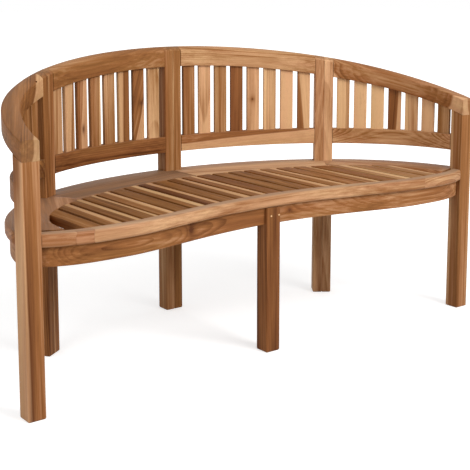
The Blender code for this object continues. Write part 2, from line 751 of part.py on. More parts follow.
def make_rims():
    front = front_blank(0.0, FRONT_STRIP_WIDTH, RIM_BOTTOM, SEAT_TOP)
    edges = [edge for edge in edges_along(front, 0) if edge.verts[0].co.y < GAP]
    round_edges(front, edges, SEAT_EDGE_ROUNDING, EDGE_SEGMENTS)
    rim = part("seat_rim_front", follow_front(front), FRONT_RIM_TONE_SHARE)
    combine(rim, seat_opening(0.0, LEDGE_TOP, SEAT_TOP + OVERRUN), "ledge")
    combine(rim, leg_stub(MORTISE_CLEARANCE), "mortise")

    section = Section(-RIM_REACH, RAIL_WIDTH, RIM_BOTTOM, SEAT_TOP, SEAT_EDGE_ROUNDING, 0.0)
    boards = (
        ("rear", RIM_MIDDLE, RIM_BEFORE_CORNER, BACK_SLICES, REAR_RIM_TONE_SHARE),
        ("end", RIM_AFTER_CORNER, ARM_FRONT, ARM_SLICES, END_RIM_TONE_SHARE),
    )
    for name, side in SIDES:
        for place, near, far, slices, tone in boards:
            blank = rim_board(section, near, far, slices)
            rim = part(f"seat_rim_{place}_{name}", on_side(blank, side), tone)
            combine(rim, seat_opening(LEDGE_WIDTH, RIM_BOTTOM - OVERRUN, SEAT_TOP + OVERRUN), "opening")
            combine(rim, seat_opening(0.0, LEDGE_TOP, SEAT_TOP + OVERRUN), "ledge")
            combine(rim, on_side(corner_notch(), side), "corner_post")
            if place == "rear":
                half = HALF_BACK_POST
                notch = post_notch((-half, BACK_DEPTH - GAP), (half, BACK_DEPTH + RAIL_WIDTH + OVERRUN))
                combine(rim, notch, "middle_post")
            else:
                near_corner = (LINE_END - GAP, -OVERRUN)
                far_corner = (LINE_END + FRONT_POST + OVERRUN, FRONT_POST + GAP)
                combine(rim, on_side(post_notch(near_corner, far_corner), side), "end_post")
                combine(rim, ahead_of_end_rim(), "front_rim")


def rim_board(section, near, far, slices):
    """A board of the seat's rim, with its outer edges rounded and its inner edge left for the ledge."""
    length = PLAN.meets(far, section.inner) - PLAN.meets(near, section.inner)
    bm = box((0.0, section.inner, section.low), (length, section.outer, section.high))
    outer = [edge for edge in edges_along(bm, 0) if edge.verts[0].co.y > section.outer - GAP]
    round_edges(bm, outer, section.rounding, EDGE_SEGMENTS)
    slice_up(bm, 0, slices, 0.0, length)
    bend(bm, PLAN, section, near, far, length)
    return bm


def make_aprons():
    for name, side in SIDES:
        front = bent_board(FRONT, FRONT_APRON, AT_MIDDLE_LEG, AT_END_POST, FRONT_SLICES)
        part("front_apron_" + name, on_side(front, side), APRON_TONE_SHARE)
        rear = bent_board(PLAN, REAR_APRON, AT_MIDDLE_POST, BEFORE_CORNER_POST, BACK_SLICES)
        part("rear_apron_" + name, on_side(rear, side), APRON_TONE_SHARE)
        end = bent_board(PLAN, REAR_APRON, AFTER_CORNER_POST, BEHIND_END_POST, ARM_SLICES)
        part("end_apron_" + name, on_side(end, side), APRON_TONE_SHARE)
    part("seat_bearer", bearer_solid(), APRON_TONE_SHARE)


def seat_slat_edge(index):
    """Where a seat slat starts, counted from the middle. The next one starts a pitch further on."""
    return index * SEAT_SLAT_PITCH + SEAT_SLAT_GAP / 2


def seat_slat(index):
    start = seat_slat_edge(index)
    end = start + SEAT_SLAT_PITCH - SEAT_SLAT_GAP
    bm = box((start, FRONT_BULGE_DEPTH, LEDGE_TOP + GAP), (end, OPENING_BACK, SEAT_TOP))
    upper = [edge for edge in edges_along(bm, 1) if edge.verts[0].co.z > SEAT_TOP - GAP]
    round_edges(bm, upper, SEAT_SLAT_ROUNDING)
    return bm


def batten(first, count, depth):
    """A batten under some of the slats, let into them a little."""
    start = seat_slat_edge(first) + BATTEN_END_INSET
    end = seat_slat_edge(first + count) - SEAT_SLAT_GAP - BATTEN_END_INSET
    return box((start, depth, RIM_BOTTOM), (end, depth + BATTEN_WIDTH, LEDGE_TOP + GAP + BATTEN_EMBED))


def make_seat_slats():
    sections = (
        ("inner", 0, INNER_SECTION_SLATS, INNER_SECTION_SLATS, INNER_REAR_BATTEN_INSET),
        ("outer", INNER_SECTION_SLATS, OUTER_SECTION_SLATS, OUTER_REAR_BATTEN_SLATS, OUTER_REAR_BATTEN_INSET),
    )
    for name, side in SIDES:
        for place, first, count, rear_count, rear_inset in sections:
            slats = merged([seat_slat(first + index) for index in range(count)])
            section = part(f"seat_slats_{place}_{name}", on_side(slats, side), SEAT_SLAT_TONE_SHARE)
            room = seat_opening(GAP, LEDGE_TOP, SEAT_TOP + OVERRUN)
            combine(section, room, "outline", "INTERSECT")
            front = batten(first, count, FRONT_BATTEN_DEPTH)
            rear = batten(first, rear_count, OPENING_BACK - rear_inset)
            combine(section, on_side(merged([front, rear]), side), "battens", "UNION")


clear_scene()
BENCH = new_collection("teak_bench")
CUTTERS = new_collection("cutters")
MIDDLE = bpy.data.objects.new("bench_middle", None)
MIDDLE.location = (0.0, -(FRONT_BULGE_DEPTH + BACK_DEPTH + RAIL_WIDTH) / 2, 0.0)
BENCH.objects.link(MIDDLE)
make_end_posts()
make_corner_posts()
make_middle_posts()
make_rails()
make_slats()
make_rims()
make_aprons()
make_seat_slats()
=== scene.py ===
import math
import random
from dataclasses import dataclass

import bmesh
import bpy
import numpy as np
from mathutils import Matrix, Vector


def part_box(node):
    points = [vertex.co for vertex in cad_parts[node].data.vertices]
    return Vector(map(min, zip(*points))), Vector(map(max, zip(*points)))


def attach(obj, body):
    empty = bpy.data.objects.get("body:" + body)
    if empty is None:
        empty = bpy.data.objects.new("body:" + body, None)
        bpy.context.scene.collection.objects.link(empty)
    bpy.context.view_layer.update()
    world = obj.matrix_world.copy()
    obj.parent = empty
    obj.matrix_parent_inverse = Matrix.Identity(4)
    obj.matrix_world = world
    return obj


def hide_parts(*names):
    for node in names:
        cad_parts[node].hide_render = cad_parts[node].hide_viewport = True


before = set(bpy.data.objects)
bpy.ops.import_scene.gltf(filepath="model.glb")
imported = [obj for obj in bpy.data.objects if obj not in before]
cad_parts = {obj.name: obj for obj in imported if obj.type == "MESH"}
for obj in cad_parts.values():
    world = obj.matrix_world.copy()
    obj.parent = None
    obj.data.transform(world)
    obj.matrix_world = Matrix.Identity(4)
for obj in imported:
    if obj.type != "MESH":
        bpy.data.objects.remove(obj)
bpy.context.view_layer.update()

# Sizes read from the frame
END_LOW, END_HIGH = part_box("end_post_right")
MIDDLE_LOW, MIDDLE_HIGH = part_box("back_post_center")
LEG_LOW, LEG_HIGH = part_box("front_leg_center")
RIM_LOW, RIM_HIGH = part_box("seat_rim_front")
LOWER_LOW, LOWER_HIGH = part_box("back_lower_rail_right")
APRON_LOW, APRON_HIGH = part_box("rear_apron_right")
FRONT_POST = END_HIGH.x - END_LOW.x
BACK_POST_WIDTH = MIDDLE_HIGH.x - MIDDLE_LOW.x
RAIL_WIDTH = MIDDLE_HIGH.y - MIDDLE_LOW.y
LINE_END = END_LOW.x
FRONT_Y = END_LOW.y
BACK_Y = MIDDLE_LOW.y
SEAT_TOP = RIM_HIGH.z
RIM_BOTTOM = RIM_LOW.z

# Fits and fine roundings, in metres
GAP = 0.0003
POST_ROUNDING = 0.003
FOOT_ROUNDING = 0.004
BOARD_ROUNDING = 0.002
SLAT_ROUNDING = 0.002
SEAT_SLAT_ROUNDING = 0.003
GLUE_ROUNDING = 0.0005
GLUE_GAP = 0.0004
ROUNDING_STEPS = 4
# Keeps the front rim inside the frame's box; points of a rim board that lie closer are one
HAIR = GAP / 10

# The plan line: the inner faces of back and arms
BACK_BOW = 0.143
ARM_REACH = 0.2265
CORNER_TURN = math.radians(35)
BACK_MIDDLE_HANDLE = 0.196
BACK_CORNER_HANDLE = 0.159
ARM_CORNER_HANDLE = 0.195
ARM_END_HANDLE = 0.134

# Top rails and arms
RAIL_SIDE = 0.048
RAIL_CROWN = 0.013
# How sharply the rise to the crown sets in up a rail's sides
CROWN_POWER = 6
ARM_END_CROWN = 0.003
RAIL_LOW_MIDDLE = 0.777
RAIL_LOW_CORNER = 0.7335
RAIL_LOW_END = 0.6234
CORNER_FALL = math.radians(9.3)
ARM_END_FALL = math.radians(17.5)
LOWER_RAIL_DEPTH = 0.031

# Upright slats
SLAT_WIDTH = 0.042
SLAT_THICKNESS = 0.012
SLAT_SETBACK = 0.010
SLAT_HOUSING = 0.010
SLAT_GAP_AIM = 0.014

# Seat
SEAT_EDGE_ROUNDING = 0.009
FRONT_HOLLOW_DEPTH = 0.036
FRONT_BULGE_DEPTH = -0.034
FRONT_BULGE_INSET = 0.2155
FRONT_MIDDLE_HANDLE = 0.222
FRONT_BULGE_INNER_HANDLE = 0.118
FRONT_BULGE_OUTER_HANDLE = 0.086
FRONT_END_HANDLE = 0.086
FRONT_END_TURN = math.radians(26)
FRONT_RIM_WIDTH = 0.030
REAR_RIM_WIDTH = 0.120
END_RIM_WIDTH = 0.0675
OPENING_SIDE_DEPTH = 0.045
OPENING_BACK_HANDLE = 0.284
OPENING_SIDE_HANDLE = 0.240
FRONT_LEDGE_WIDTH = 0.016
LEDGE_THICKNESS = 0.011
SEAT_SLAT_GAP = 0.009
SEAT_END_OPENING = 0.0463
HALF_SEAT_SLATS = 11
BATTEN_WIDTH = 0.030
BATTEN_END_INSET = 0.001
FRONT_BATTEN_DEPTH = 0.080
# Battens by section: its first slat, how many slats the front and the rear one hold, and how far the
# rear one lies before the opening's back
BATTEN_SECTIONS = ((0, 6, 6, 0.112), (6, 5, 3, 0.192))
APRON_THICKNESS = 0.022
FRONT_APRON_SETBACK = 0.015
REAR_APRON_INSET = 0.013
BEARER_WIDTH = 0.030

# How finely curved boards are cut
LINE_SAMPLES = 240
RAIL_SLICES = 40
CROWN_STRIPS = 10
SMOOTH_ANGLE = math.radians(32)
# How far in from the sides the rings lie that close a stick's top
TOP_INSET_SHARES = (0.25, 0.5, 0.75, 0.97)
# How squarely a face crosses the grain where it is end grain, and how fast a tilted face isn't level and
# loses the painted sheen of level faces
END_GRAIN_ALIGNMENT = 0.8
LEVEL_FALLOFF = 4

FRONT_BULGE_REACH = LINE_END - FRONT_BULGE_INSET
FRONT_END_HEADING = np.array([math.cos(FRONT_END_TURN), math.sin(FRONT_END_TURN)])
HOLLOW_Y = FRONT_Y + FRONT_HOLLOW_DEPTH
BULGE_Y = FRONT_Y + FRONT_BULGE_DEPTH
OPENING_BACK = BACK_Y - REAR_RIM_WIDTH
OPENING_REACH = LINE_END - END_RIM_WIDTH
SEAT_SLAT_PITCH = (OPENING_REACH - SEAT_END_OPENING + SEAT_SLAT_GAP / 2) / HALF_SEAT_SLATS
SLAT_OFFSET = SLAT_SETBACK + SLAT_THICKNESS / 2
LEDGE_TOP = RIM_BOTTOM + LEDGE_THICKNESS
CORNER_POINT = np.array([LINE_END - ARM_REACH, BACK_Y - BACK_BOW])
CORNER_HEADING = np.array([math.cos(CORNER_TURN), -math.sin(CORNER_TURN)])
QUARTER_TURN = math.pi / 2
RIGHT = Vector((1.0, 0.0, 0.0))
BACKWARDS = Vector((0.0, 1.0, 0.0))
UP = Vector((0.0, 0.0, 1.0))
SIDES = (("left", -1), ("right", 1))


def srgb(red, green, blue):
    """A colour written as it looks, turned into Blender's linear values."""
    shares = [value / 255 for value in (red, green, blue)]
    linear = [share / 12.92 if share <= 0.04045 else ((share + 0.055) / 1.055) ** 2.4 for share in shares]
    return (*linear, 1.0)


def bezier(start, start_handle, end_handle, end):
    """Points of one cubic curve, as rows of x and y."""
    t = np.linspace(0.0, 1.0, LINE_SAMPLES)[:, None]
    a, b, c, d = (np.array(point, dtype=float) for point in (start, start_handle, end_handle, end))
    return (1 - t) ** 3 * a + 3 * (1 - t) ** 2 * t * b + 3 * (1 - t) * t**2 * c + t**3 * d


class Line:
    """Two curves and a straight run-on in plan, mirrored, with distances along them from the middle."""

    def __init__(self, inner, outer, heading):
        run_on = outer[-1] + np.array(heading) * np.linspace(0.0, FRONT_POST, LINE_SAMPLES)[1:, None]
        half = np.vstack([inner, outer[1:], run_on])
        mirror = half[:0:-1] * np.array([-1.0, 1.0])
        self.points = np.vstack([mirror, half])
        steps = np.linalg.norm(np.diff(self.points, axis=0), axis=1)
        along = np.concatenate([[0.0], np.cumsum(steps)])
        self.stations = along - along[-1] / 2
        slope = np.gradient(self.points, self.stations, axis=0)
        self.tangents = slope / np.linalg.norm(slope, axis=1)[:, None]
        self.normals = np.stack([-self.tangents[:, 1], self.tangents[:, 0]], axis=1)

    def at(self, table, station):
        return np.array([np.interp(station, self.stations, table[:, axis]) for axis in (0, 1)])

    def point(self, station, offset):
        return self.at(self.points, station) + self.at(self.normals, station) * offset

    def meets(self, plane, offset):
        """The station at which the line, moved sideways by offset, crosses an upright plane."""
        origin, normal = plane
        right = self.stations >= 0
        moved = self.points[right] + self.normals[right] * offset
        distance = (moved - np.array(origin)) @ np.array(normal)
        return float(np.interp(0.0, distance, self.stations[right]))


PLAN = Line(
    bezier(
        (0.0, BACK_Y),
        (BACK_MIDDLE_HANDLE, BACK_Y),
        CORNER_POINT - CORNER_HEADING * BACK_CORNER_HANDLE,
        CORNER_POINT,
    ),
    bezier(
        CORNER_POINT,
        CORNER_POINT + CORNER_HEADING * ARM_CORNER_HANDLE,
        (LINE_END, FRONT_Y + ARM_END_HANDLE),
        (LINE_END, FRONT_Y),
    ),
    (0.0, -1.0),
)
# The seat's front edge is hollow in the middle and bulges towards both ends
FRONT = Line(
    bezier(
        (0.0, HOLLOW_Y),
        (FRONT_MIDDLE_HANDLE, HOLLOW_Y),
        (FRONT_BULGE_REACH - FRONT_BULGE_INNER_HANDLE, BULGE_Y),
        (FRONT_BULGE_REACH, BULGE_Y),
    ),
    bezier(
        (FRONT_BULGE_REACH, BULGE_Y),
        (FRONT_BULGE_REACH + FRONT_BULGE_OUTER_HANDLE, BULGE_Y),
        np.array([LINE_END, FRONT_Y]) - FRONT_END_HEADING * FRONT_END_HANDLE,
        (LINE_END, FRONT_Y),
    ),
    FRONT_END_HEADING,
)
OPENING_REAR = bezier(
    (0.0, OPENING_BACK),
    (OPENING_BACK_HANDLE, OPENING_BACK),
    (OPENING_REACH, FRONT_Y + OPENING_SIDE_DEPTH + OPENING_SIDE_HANDLE),
    (OPENING_REACH, FRONT_Y + OPENING_SIDE_DEPTH),
)

# Upright planes that boards end at: a point, and the way along the line
HALF_BACK_POST = BACK_POST_WIDTH / 2 + GAP
AT_MIDDLE_POST = ((HALF_BACK_POST, 0.0), (1.0, 0.0))
BEFORE_CORNER_POST = (CORNER_POINT - CORNER_HEADING * HALF_BACK_POST, CORNER_HEADING)
AFTER_CORNER_POST = (CORNER_POINT + CORNER_HEADING * HALF_BACK_POST, CORNER_HEADING)
BEHIND_END_POST = ((0.0, FRONT_Y + FRONT_POST + GAP), (0.0, -1.0))
ARM_FRONT = ((0.0, FRONT_Y), (0.0, -1.0))
AT_MIDDLE_LEG = ((FRONT_POST / 2 + GAP, 0.0), (1.0, 0.0))
AT_END_POST = ((LINE_END - GAP, 0.0), (1.0, 0.0))
CORNER_STATION = PLAN.meets((CORNER_POINT, CORNER_HEADING), 0.0)
ARM_END_STATION = PLAN.meets(ARM_FRONT, 0.0)
ARM_LENGTH = ARM_END_STATION - CORNER_STATION


def eased(start, end, start_slope, end_slope, share, length):
    """Height on a smooth fall between two heights with given slopes."""
    t = share
    return (
        start * (2 * t**3 - 3 * t**2 + 1)
        + end * (3 * t**2 - 2 * t**3)
        + length * start_slope * (t**3 - 2 * t**2 + t)
        + length * end_slope * (t**3 - t**2)
    )


def rail_low(station):
    """Height of the top rail's underside."""
    station = abs(station)
    if station < CORNER_STATION:
        share = station / CORNER_STATION
        return eased(RAIL_LOW_MIDDLE, RAIL_LOW_CORNER, 0.0, -math.tan(CORNER_FALL), share, CORNER_STATION)
    share = (station - CORNER_STATION) / ARM_LENGTH
    slopes = (-math.tan(CORNER_FALL), -math.tan(ARM_END_FALL))
    return eased(RAIL_LOW_CORNER, RAIL_LOW_END, *slopes, share, ARM_LENGTH)


def crown(station, offset):
    """How far the round top of a rail stands over its sides."""
    share = min(max((abs(station) - CORNER_STATION) / ARM_LENGTH, 0.0), 1.0)
    ease = share * share * (3 - 2 * share)
    rise = RAIL_CROWN + (ARM_END_CROWN - RAIL_CROWN) * ease
    across = min(max(offset / RAIL_WIDTH, 0.0), 1.0)
    return rise * 4 * across * (1 - across)


def front_depth(x):
    return float(np.interp(x, FRONT.points[:, 0], FRONT.points[:, 1]))


def opening_depth(x):
    return float(np.interp(abs(x), OPENING_REAR[:, 0], OPENING_REAR[:, 1]))


# A knot's place along and across a board, its size and the length it is drawn out to: here far away
NO_KNOT = (9.0, 9.0, 0.0, 0.0)
# How far from the pith the heartwood reaches
ALL_SAPWOOD = 0.0
ALL_HEARTWOOD = 1.0


@dataclass(frozen=True)
class Look:
    """How one board was cut.

    Tone runs from 0, dark, to 1, pale, and past it, and redness from 0 to 1. The pith is the log's
    middle line, beside the board's own. The board leans to it by the slopes of lean, and is pale
    sapwood further than heart from it.
    """

    tone: float
    red: float
    pith: tuple
    lean: tuple
    heart: float = ALL_HEARTWOOD
    knot: tuple = NO_KNOT


def from_knot(knot, along, across):
    """A point's place seen from a knot, nearer along the board where the knot is drawn out."""
    knot_along, knot_across, size, streak = knot
    shortened = size / streak if streak else 1.0
    return (along - knot_along) * shortened, across - knot_across, size


# What chance gives a board: redness, the pith's place across and behind it, and its leans
RED_RANGE = (0.15, 0.75)
PITH_ACROSS = (-0.035, 0.035)
PITH_BEHIND = (0.030, 0.090)
LEAN_ACROSS = (-0.02, 0.02)
LEAN_THROUGH = (-0.06, 0.06)
USUAL_TONE = 0.50
USUAL_TONE_SPREAD = 0.10


def board_look(name, tone, spread=USUAL_TONE_SPREAD, **choices):
    """A look that varies from board to board by the board's name, and is the same each run."""
    chance = random.Random(name)
    looks = {
        "tone": tone + chance.uniform(-spread, spread),
        "red": chance.uniform(*RED_RANGE),
        "pith": (chance.uniform(*PITH_ACROSS), chance.choice((-1, 1)) * chance.uniform(*PITH_BEHIND)),
        "lean": (chance.uniform(*LEAN_ACROSS), chance.uniform(*LEAN_THROUGH)),
    }
    return Look(**{**looks, **choices})


# A board that is part sapwood has its pith this far aside and behind
SAP_CENTRE = 0.10
SAP_CENTRE_BEHIND = 0.004


def sapwood_beside(at, slope, to_right=True):
    """The choices for a board that is pale on one side of a line: where it crosses, and its slope."""
    way = 1 if to_right else -1
    pith = (-way * SAP_CENTRE, SAP_CENTRE_BEHIND)
    return {"pith": pith, "heart": SAP_CENTRE + way * at, "lean": (-way * slope, 0.0)}


def own(tone, red=None, pale_left=None, pale_right=None, **choices):
    """What sets one board apart: its tone, its redness unless chance picks it, and other choices."""
    if red is not None:
        choices["red"] = red
    if pale_left:
        choices.update(sapwood_beside(*pale_left, to_right=False))
    if pale_right:
        choices.update(sapwood_beside(*pale_right))
    return tone, choices


# How single boards look in the photograph
BOARD_LOOKS = {
    "end_post_left": own(0.68, 0.6, pale_left=(-0.027, 0.015), knot=(-0.50, -0.013, 0.009, 0.62)),
    # Painted shade: the right end post's knot lies far below its foot at its left face and is drawn out a
    # metre, so it darkens that face, most towards the foot
    "end_post_right": own(
        0.60, 0.5, pith=(0.030, -0.050), heart=0.088, lean=(0.0, 0.0), knot=(-1.3, -0.0235, 0.005, 1.0)
    ),
    "front_leg_center": own(0.50, 0.7, knot=(-0.85, 0.006, 0.013, 0.90)),
    "back_top_rail_left": own(0.44, 0.4),
    "back_top_rail_right": own(0.70, 0.4, pith=(-0.14, 0.0), lean=(0.0, 0.0)),
    "arm_rail_left": own(0.34, 0.4, pith=(0.006, -0.11), heart=0.152, lean=(0.0, 0.018)),
    "arm_rail_right": own(0.48, 0.6, pith=(0.006, -0.11), heart=0.158, lean=(0.0, 0.048)),
    "back_lower_rail_left": own(0.36, 0.6, pith=(0.08, 0.01), lean=(0.02, 0.0)),
    "back_lower_rail_right": own(0.44, 0.6, pith=(0.100, 0.010), heart=0.092, lean=(-0.055, 0.0)),
    "arm_lower_rail_left": own(0.38),
    "arm_lower_rail_right": own(0.68, 0.5),
    "front_apron_left": own(0.42, 0.6, lean=(0.01, 0.02), knot=(0.088, 0.004, 0.008, 0.0)),
    "front_apron_right": own(0.56, 0.6, lean=(0.01, 0.03), knot=(-0.32, 0.006, 0.006, 0.0)),
    "seat_rim_rear_left": own(0.28, 0.4),
    "seat_rim_rear_right": own(0.68, 0.4),
    "seat_rim_end_left": own(0.38, 0.7),
    "seat_rim_end_right": own(0.58, 0.6),
}
# The same for boards of one kind: sticks from left to right, the front rim's boards from left to right,
# and slats from the middle of the back or from the corner outwards
ROW_LOOKS = {
    "back_post_center": (own(0.54), own(0.46, pale_left=(-0.016, 0.0))),
    "corner_post_left": (own(0.42, 0.5), own(0.56, 0.5, pale_left=(-0.015, 0.0))),
    # Painted shade, partly darker wood: the right corner post's knots lie below its foot and are drawn out
    # long, so they darken both sticks towards the foot
    "corner_post_right": (
        own(0.90, 0.5, knot=(-0.64, 0.008, 0.016, 0.45)),
        own(1.06, 0.5, knot=(-0.75, 0.0, 0.040, 0.55)),
    ),
    "front rim": (
        own(0.62, 0.6),
        own(0.58, 0.8),
        own(0.63, 0.5, pith=(-0.10, 0.010), lean=(0.0, 0.0)),
        own(0.60, 0.5),
    ),
    "back left slat": (
        own(0.84, 0.3),
        own(0.44, 0.6, knot=(0.122, 0.011, 0.008, 0.0), pale_right=(-0.014, 0.30)),
        own(0.42, 0.5, pale_left=(-0.006, 0.0)),
        own(0.70, 0.4),
        own(0.50, 0.5, pale_right=(0.012, 0.01)),
        own(0.44, 0.7, knot=(0.066, 0.002, 0.006, 0.014), pale_right=(-0.006, 0.05)),
        own(0.52, 0.5, pale_left=(0.004, -0.06)),
        own(0.76, 0.4),
    ),
    "back right slat": (
        own(0.52, 0.5),
        own(0.94, 0.6),
        own(0.64, 0.3),
        own(0.36, 0.8),
        own(0.82, 0.6, knot=(0.112, -0.003, 0.004, 0.0)),
        own(0.78, 0.4, pale_left=(-0.012, 0.0)),
        own(0.98, 0.5),
        own(0.48, 0.5, pale_right=(0.000, -0.08)),
    ),
    "arm right slat": (
        own(0.72, 0.4, pale_left=(0.010, 0.01)),
        own(1.10, 0.3),
        own(1.12, 0.1),
        own(0.40, 0.7, pale_right=(0.004, 0.06)),
        own(0.78, 0.4, pale_left=(-0.008, 0.02)),
        own(0.96, 0.5),
        own(0.62, 0.3),
    ),
}
for row_name, row_looks in ROW_LOOKS.items():
    BOARD_LOOKS.update({f"{row_name} {index}": look for index, look in enumerate(row_looks)})


def look_of(name):
    """A board's own look, or one picked by its name."""
    if name not in BOARD_LOOKS:
        return board_look(name, USUAL_TONE)
    tone, choices = BOARD_LOOKS[name]
    return board_look(name, tone, 0.0, **choices)


def linked(name, data):
    """A new object of the scene, with its mesh, camera or lamp."""
    obj = bpy.data.objects.new(name, data)
    bpy.context.scene.collection.objects.link(obj)
    return obj


class Piece:
    """One object made of one or more boards, whose grain is kept with its points."""

    def __init__(self, name):
        self.name = name
        self.bm = bmesh.new()
        of_points, of_faces = self.bm.verts.layers, self.bm.faces.layers
        vectors = [of_points.float_vector.new(key) for key in ("grain", "board", "knot")]
        self.grain, self.board, self.knot = vectors
        self.heart = of_points.float.new("heart")
        self.end_grain, self.level = (of_faces.float.new(key) for key in ("end_grain", "level"))
        self.count = 0

    def stain(self, verts, faces, look, centre, heading, across):
        """Lays the board's grain along its heading, and marks its end grain and its level faces."""
        heading = Vector(heading).normalized()
        across = (Vector(across) - heading * heading.dot(Vector(across))).normalized()
        through = heading.cross(across)
        self.count += 1
        seed = random.Random(f"{self.name} {self.count}").random()
        for vert in verts:
            offset = vert.co - Vector(centre)
            u, v, w = offset.dot(heading), offset.dot(across), offset.dot(through)
            vert[self.grain] = (u, v + look.lean[0] * u - look.pith[0], w + look.lean[1] * u - look.pith[1])
            vert[self.board] = (seed, look.tone, look.red)
            vert[self.knot] = from_knot(look.knot, u, v)
            vert[self.heart] = look.heart
        self.bm.normal_update()
        for face in faces:
            face[self.end_grain] = float(abs(face.normal.dot(heading)) > END_GRAIN_ALIGNMENT)
            # Level faces are marked for the material's painted grey sheen, which stands in for the white
            # studio's grazing reflection on tops
            face[self.level] = max(0.0, face.normal.z) ** LEVEL_FALLOFF

    def loft(self, rings, look, heading, across=UP):
        """A closed board through rings of points, with flat ends."""
        bm = self.bm
        loops = [[bm.verts.new(point) for point in ring] for ring in rings]
        faces = []
        for near, far in zip(loops, loops[1:]):
            quads = zip(near, near[1:] + near[:1], far[1:] + far[:1], far)
            faces += [bm.faces.new(quad) for quad in quads]
        faces += [bm.faces.new(loops[0][::-1]), bm.faces.new(loops[-1])]
        bmesh.ops.recalc_face_normals(bm, faces=faces)
        verts = [vert for loop in loops for vert in loop]
        centre = sum((vert.co for vert in verts), Vector()) / len(verts)
        self.stain(verts, faces, look, centre, heading, across)

    def finish(self, wood, *nodes):
        mesh = bpy.data.meshes.new(self.name)
        self.bm.to_mesh(mesh)
        self.bm.free()
        place(linked(self.name, mesh), wood, *nodes)


def make_board(node, wood, rings, heading, across=UP):
    """A piece of one board, which stands for one node."""
    piece = Piece(node + "_wood")
    piece.loft(rings, look_of(node), heading, across)
    piece.finish(wood, node)


def place(obj, wood, *nodes):
    """Gives a piece its material, ties it to the bench, and hides the frame's nodes it stands for."""
    material, slot = wood
    obj.data.materials.clear()
    obj.data.materials.append(material)
    obj.data.shade_smooth()
    obj.data.set_sharp_from_angle(angle=SMOOTH_ANGLE)
    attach(obj, "root")
    if nodes:
        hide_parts(*nodes)
    return obj


def rounded_section(low, high, roundings, strips=1):
    """A section's outline, anticlockwise from its low near corner, with strips across its top."""
    (near, bottom), (far, top) = low, high
    corners = ((near, bottom, 1, 1), (far, bottom, -1, 1), (far, top, -1, -1), (near, top, 1, -1))
    points = []
    for quarter, ((x, z, to_x, to_z), radius) in enumerate(zip(corners, roundings)):
        for step in range(ROUNDING_STEPS + 1):
            angle = math.pi + (quarter + step / ROUNDING_STEPS) * QUARTER_TURN
            point_x = x + to_x * radius + radius * math.cos(angle)
            point_z = z + to_z * radius + radius * math.sin(angle)
            points.append((point_x, point_z))
        if (x, z) == (far, top):
            start, end = far - radius, near + roundings[-1]
            points += [(start + (end - start) * index / strips, top) for index in range(1, strips)]
    return points


def level(station, offset, height):
    return height


def on_top_rail(station, offset, height):
    """The height of a top rail's point: its sides fall with the rail and its top is crowned."""
    share = max(0.0, min(1.0, height / RAIL_SIDE)) ** CROWN_POWER
    return rail_low(station) + height + crown(station, offset) * share


def swept_rings(line, section, near, far, side, lift):
    """Rings of a board that follows a line between two upright planes."""
    starts = [line.meets(near, offset) for offset, height in section]
    ends = [line.meets(far, offset) for offset, height in section]
    rings = []
    for index in range(RAIL_SLICES + 1):
        share = index / RAIL_SLICES
        ring = []
        for (offset, height), start, end in zip(section, starts, ends):
            station = start + (end - start) * share
            x, y = line.point(station, offset)
            ring.append((side * x, y, lift(station, offset, height)))
        rings.append(ring)
    return rings


def chord(rings, side=1):
    """The straight way along a board, to the right, along which its grain runs."""
    ends = (rings[0], rings[-1])
    first, last = (sum((Vector(point) for point in ring), Vector()) / len(ring) for ring in ends)
    return (last - first) * side


def reckoning(operation, turned=False):
    """What an arithmetic sign does between a value of a node tree and another, or a number."""

    def method(self, other):
        first, second = (other, self) if turned else (self, other)
        return self.graph.math(operation, first, second)

    return method


# The sockets in which a Mix node keeps its colours
MIX_FIRST = 6
MIX_SECOND = 7
MIX_RESULT = 2


class Value:
    """A socket of a node tree that can be reckoned with."""

    __add__ = reckoning("ADD")
    __sub__ = reckoning("SUBTRACT")
    __rsub__ = reckoning("SUBTRACT", True)
    __mul__ = reckoning("MULTIPLY")
    __truediv__ = reckoning("DIVIDE")
    __pow__ = reckoning("POWER")

    def __init__(self, graph, socket):
        self.graph = graph
        self.socket = socket


